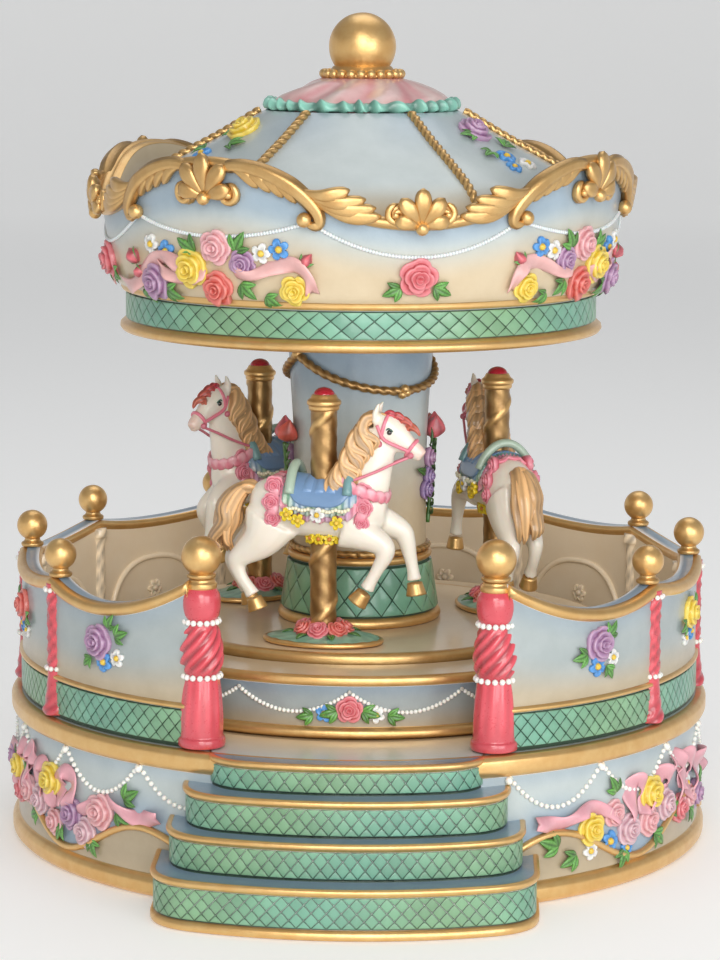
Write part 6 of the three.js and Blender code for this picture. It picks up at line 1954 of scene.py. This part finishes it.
def length_property(name, description, default, low, high):
    """A size in metres."""
    return FloatProperty(name=name, description=description, default=default, min=low, max=high, unit="LENGTH",
                         subtype="DISTANCE")


def colour_property(name, description, *default):
    """A colour."""
    return FloatVectorProperty(name=name, description=description, size=3, min=0, max=1, default=default,
        subtype="COLOR")


class CarouselSizes(bpy.types.PropertyGroup):
    pearl_radius: length_property("Pearl radius", "Radius of a garland's pearls", 0.00062, 0.0003, 0.001)
    rope_radius: length_property("Rope radius", "Radius of the twisted ropes on the roof", 0.00095, 0.0005, 0.0015)
    lattice_width: length_property("Lattice width", "Width of one diamond of the lattice bands", 0.0048, 0.002, 0.01)


class CarouselPaints(bpy.types.PropertyGroup):
    pale_blue: colour_property("Pale blue", "Upper walls and roof", 0.48, 0.54, 0.54)
    deep_blue: colour_property("Deep blue", "Shading of the blue walls", 0.27, 0.37, 0.47)
    cream: colour_property("Cream", "Lower walls", 0.56, 0.46, 0.31)
    # painted light: a lightened copy of the cream for the fence's inner face
    lit_inside_cream: colour_property("Inside cream", "Inner face of the fence", 0.86, 0.74, 0.56)
    lattice_green: colour_property("Lattice green", "Quilted bands", 0.155, 0.315, 0.205)
    tread_blue: colour_property("Tread blue", "Tops of the steps", 0.25, 0.36, 0.48)
    mound_green: colour_property("Mound green", "Mounds under the poles", 0.3, 0.52, 0.38)
    ruffle_green: colour_property("Ruffle green", "Frill under the cap", 0.26, 0.56, 0.46)
    floor_brown: colour_property("Floor brown", "Turntable and plinth tops", 0.8, 0.65, 0.45)
    rose_pink: colour_property("Rose pink", "Posts", 0.62, 0.075, 0.1)
    cap_pink: colour_property("Cap pink", "Streaked cap", 0.62, 0.28, 0.29)
    ribbon: colour_property("Ribbon", "Ribbons", 0.8, 0.47, 0.45)
    bridle_pink: colour_property("Bridle pink", "Horses' tack", 0.78, 0.24, 0.32)
    saddle_blue: colour_property("Saddle blue", "Saddles", 0.2, 0.34, 0.56)
    horse_white: colour_property("Horse white", "Horses", 0.84, 0.79, 0.69)
    mane: colour_property("Mane", "Manes and tails", 0.8, 0.5, 0.24)
    leaf: colour_property("Leaf", "Leaves", 0.11, 0.3, 0.06)
    gilt: colour_property("Gilt", "Gilding where it catches light", 0.8, 0.53, 0.22)
    # painted shade: the gilding's colour in its hollows
    gilt_recess: colour_property("Gilt recess", "Gilding in the hollows", 0.2, 0.1, 0.03)


class PartBuilder:
    """What the operators share: each runs its own builder, and an error there stops the script."""

    def execute(self, context):
        self.build()
        return {"FINISHED"}


class CAROUSEL_OT_stage(PartBuilder, bpy.types.Operator):
    """Pale floor, soft lights and the camera"""
    bl_idname, bl_label = "carousel.build_stage", "Stage"
    build = staticmethod(build_stage)


class CAROUSEL_OT_base(PartBuilder, bpy.types.Operator):
    """Base shell with its gilt wave, pearls and flower clusters"""
    bl_idname, bl_label = "carousel.build_base", "Base"
    build = staticmethod(build_base)


class CAROUSEL_OT_steps(PartBuilder, bpy.types.Operator):
    """Four steps with quilted risers and gilt edges"""
    bl_idname, bl_label = "carousel.build_steps", "Steps"
    build = staticmethod(build_steps)


class CAROUSEL_OT_fence(PartBuilder, bpy.types.Operator):
    """Fence with its lattice band, twisted pilasters and flowers"""
    bl_idname, bl_label = "carousel.build_fence", "Fence"
    build = staticmethod(build_fence)


class CAROUSEL_OT_gate_posts(PartBuilder, bpy.types.Operator):
    """Two twisted posts with gilt balls at the gateway"""
    bl_idname, bl_label = "carousel.build_gate_posts", "Gate posts"
    build = staticmethod(build_gate_posts)


class CAROUSEL_OT_finials(PartBuilder, bpy.types.Operator):
    """Nine gilt balls on the fence"""
    bl_idname, bl_label = "carousel.build_finials", "Fence balls"
    build = staticmethod(build_finials)


class CAROUSEL_OT_plinth(PartBuilder, bpy.types.Operator):
    """Inner drum with pearls and flowers"""
    bl_idname, bl_label = "carousel.build_plinth", "Plinth"
    build = staticmethod(build_plinth)


class CAROUSEL_OT_turntable(PartBuilder, bpy.types.Operator):
    """Turning floor with its gilt edge"""
    bl_idname, bl_label = "carousel.build_turntable", "Turntable"
    build = staticmethod(build_turntable)


class CAROUSEL_OT_column(PartBuilder, bpy.types.Operator):
    """Lattice drum and column with rope swags and bouquets"""
    bl_idname, bl_label = "carousel.build_column", "Column"
    build = staticmethod(build_column)


class CAROUSEL_OT_mounds(PartBuilder, bpy.types.Operator):
    """Three gilt-rimmed mounds with roses"""
    bl_idname, bl_label = "carousel.build_mounds", "Mounds"
    build = staticmethod(build_mounds)


class CAROUSEL_OT_poles(PartBuilder, bpy.types.Operator):
    """Three twisted gilt poles with jewels"""
    bl_idname, bl_label = "carousel.build_poles", "Poles"
    build = staticmethod(build_poles)


class CAROUSEL_OT_horses(PartBuilder, bpy.types.Operator):
    """Three horses with saddles and bridles"""
    bl_idname, bl_label = "carousel.build_horses", "Horses"
    build = staticmethod(build_horses)


class CAROUSEL_OT_canopy_wall(PartBuilder, bpy.types.Operator):
    """Scalloped canopy wall with its gilt crown and flowers"""
    bl_idname, bl_label = "carousel.build_canopy_wall", "Canopy wall"
    build = staticmethod(build_canopy_wall)


class CAROUSEL_OT_roof(PartBuilder, bpy.types.Operator):
    """Bell roof, streaked cap and top ball"""
    bl_idname, bl_label = "carousel.build_roof", "Roof"
    build = staticmethod(build_roof)


class CAROUSEL_OT_ceiling(PartBuilder, bpy.types.Operator):
    """Underside of the canopy"""
    bl_idname, bl_label = "carousel.build_ceiling", "Ceiling"
    build = staticmethod(build_ceiling)


class CAROUSEL_OT_movement(PartBuilder, bpy.types.Operator):
    """Metals and mouldings of the wind-up movement"""
    bl_idname, bl_label = "carousel.build_movement", "Movement"
    build = staticmethod(finish_movement)


class CAROUSEL_PT_parts(bpy.types.Panel):
    """Sizes, colours and builders of the carousel music box"""
    bl_label = "Carousel music box"
    bl_space_type, bl_region_type, bl_category = "VIEW_3D", "UI", "Carousel"

    def draw(self, context):
        for group in (context.scene.carousel_sizes, context.scene.carousel_paints):
            for name in group.__annotations__:
                self.layout.prop(group, name)
        for item in OPERATORS:
            self.layout.operator(item.bl_idname)


OPERATORS = (CAROUSEL_OT_stage, CAROUSEL_OT_base, CAROUSEL_OT_steps, CAROUSEL_OT_fence, CAROUSEL_OT_gate_posts,
    CAROUSEL_OT_finials, CAROUSEL_OT_plinth, CAROUSEL_OT_turntable, CAROUSEL_OT_column, CAROUSEL_OT_mounds,
    CAROUSEL_OT_poles, CAROUSEL_OT_horses, CAROUSEL_OT_canopy_wall, CAROUSEL_OT_roof, CAROUSEL_OT_ceiling,
    CAROUSEL_OT_movement)
CLASSES = (CarouselSizes, CarouselPaints, CAROUSEL_PT_parts, *OPERATORS)


def register():
    for item in CLASSES:
        bpy.utils.register_class(item)
    bpy.types.Scene.carousel_sizes = PointerProperty(type=CarouselSizes)
    bpy.types.Scene.carousel_paints = PointerProperty(type=CarouselPaints)


def unregister():
    del bpy.types.Scene.carousel_paints
    del bpy.types.Scene.carousel_sizes
    for item in reversed(CLASSES):
        bpy.utils.unregister_class(item)


def main():
    """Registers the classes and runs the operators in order."""
    register()
    for item in OPERATORS:
        getattr(bpy.ops.carousel, item.bl_idname.split(".")[1])()


if __name__ == "__main__":
    main()
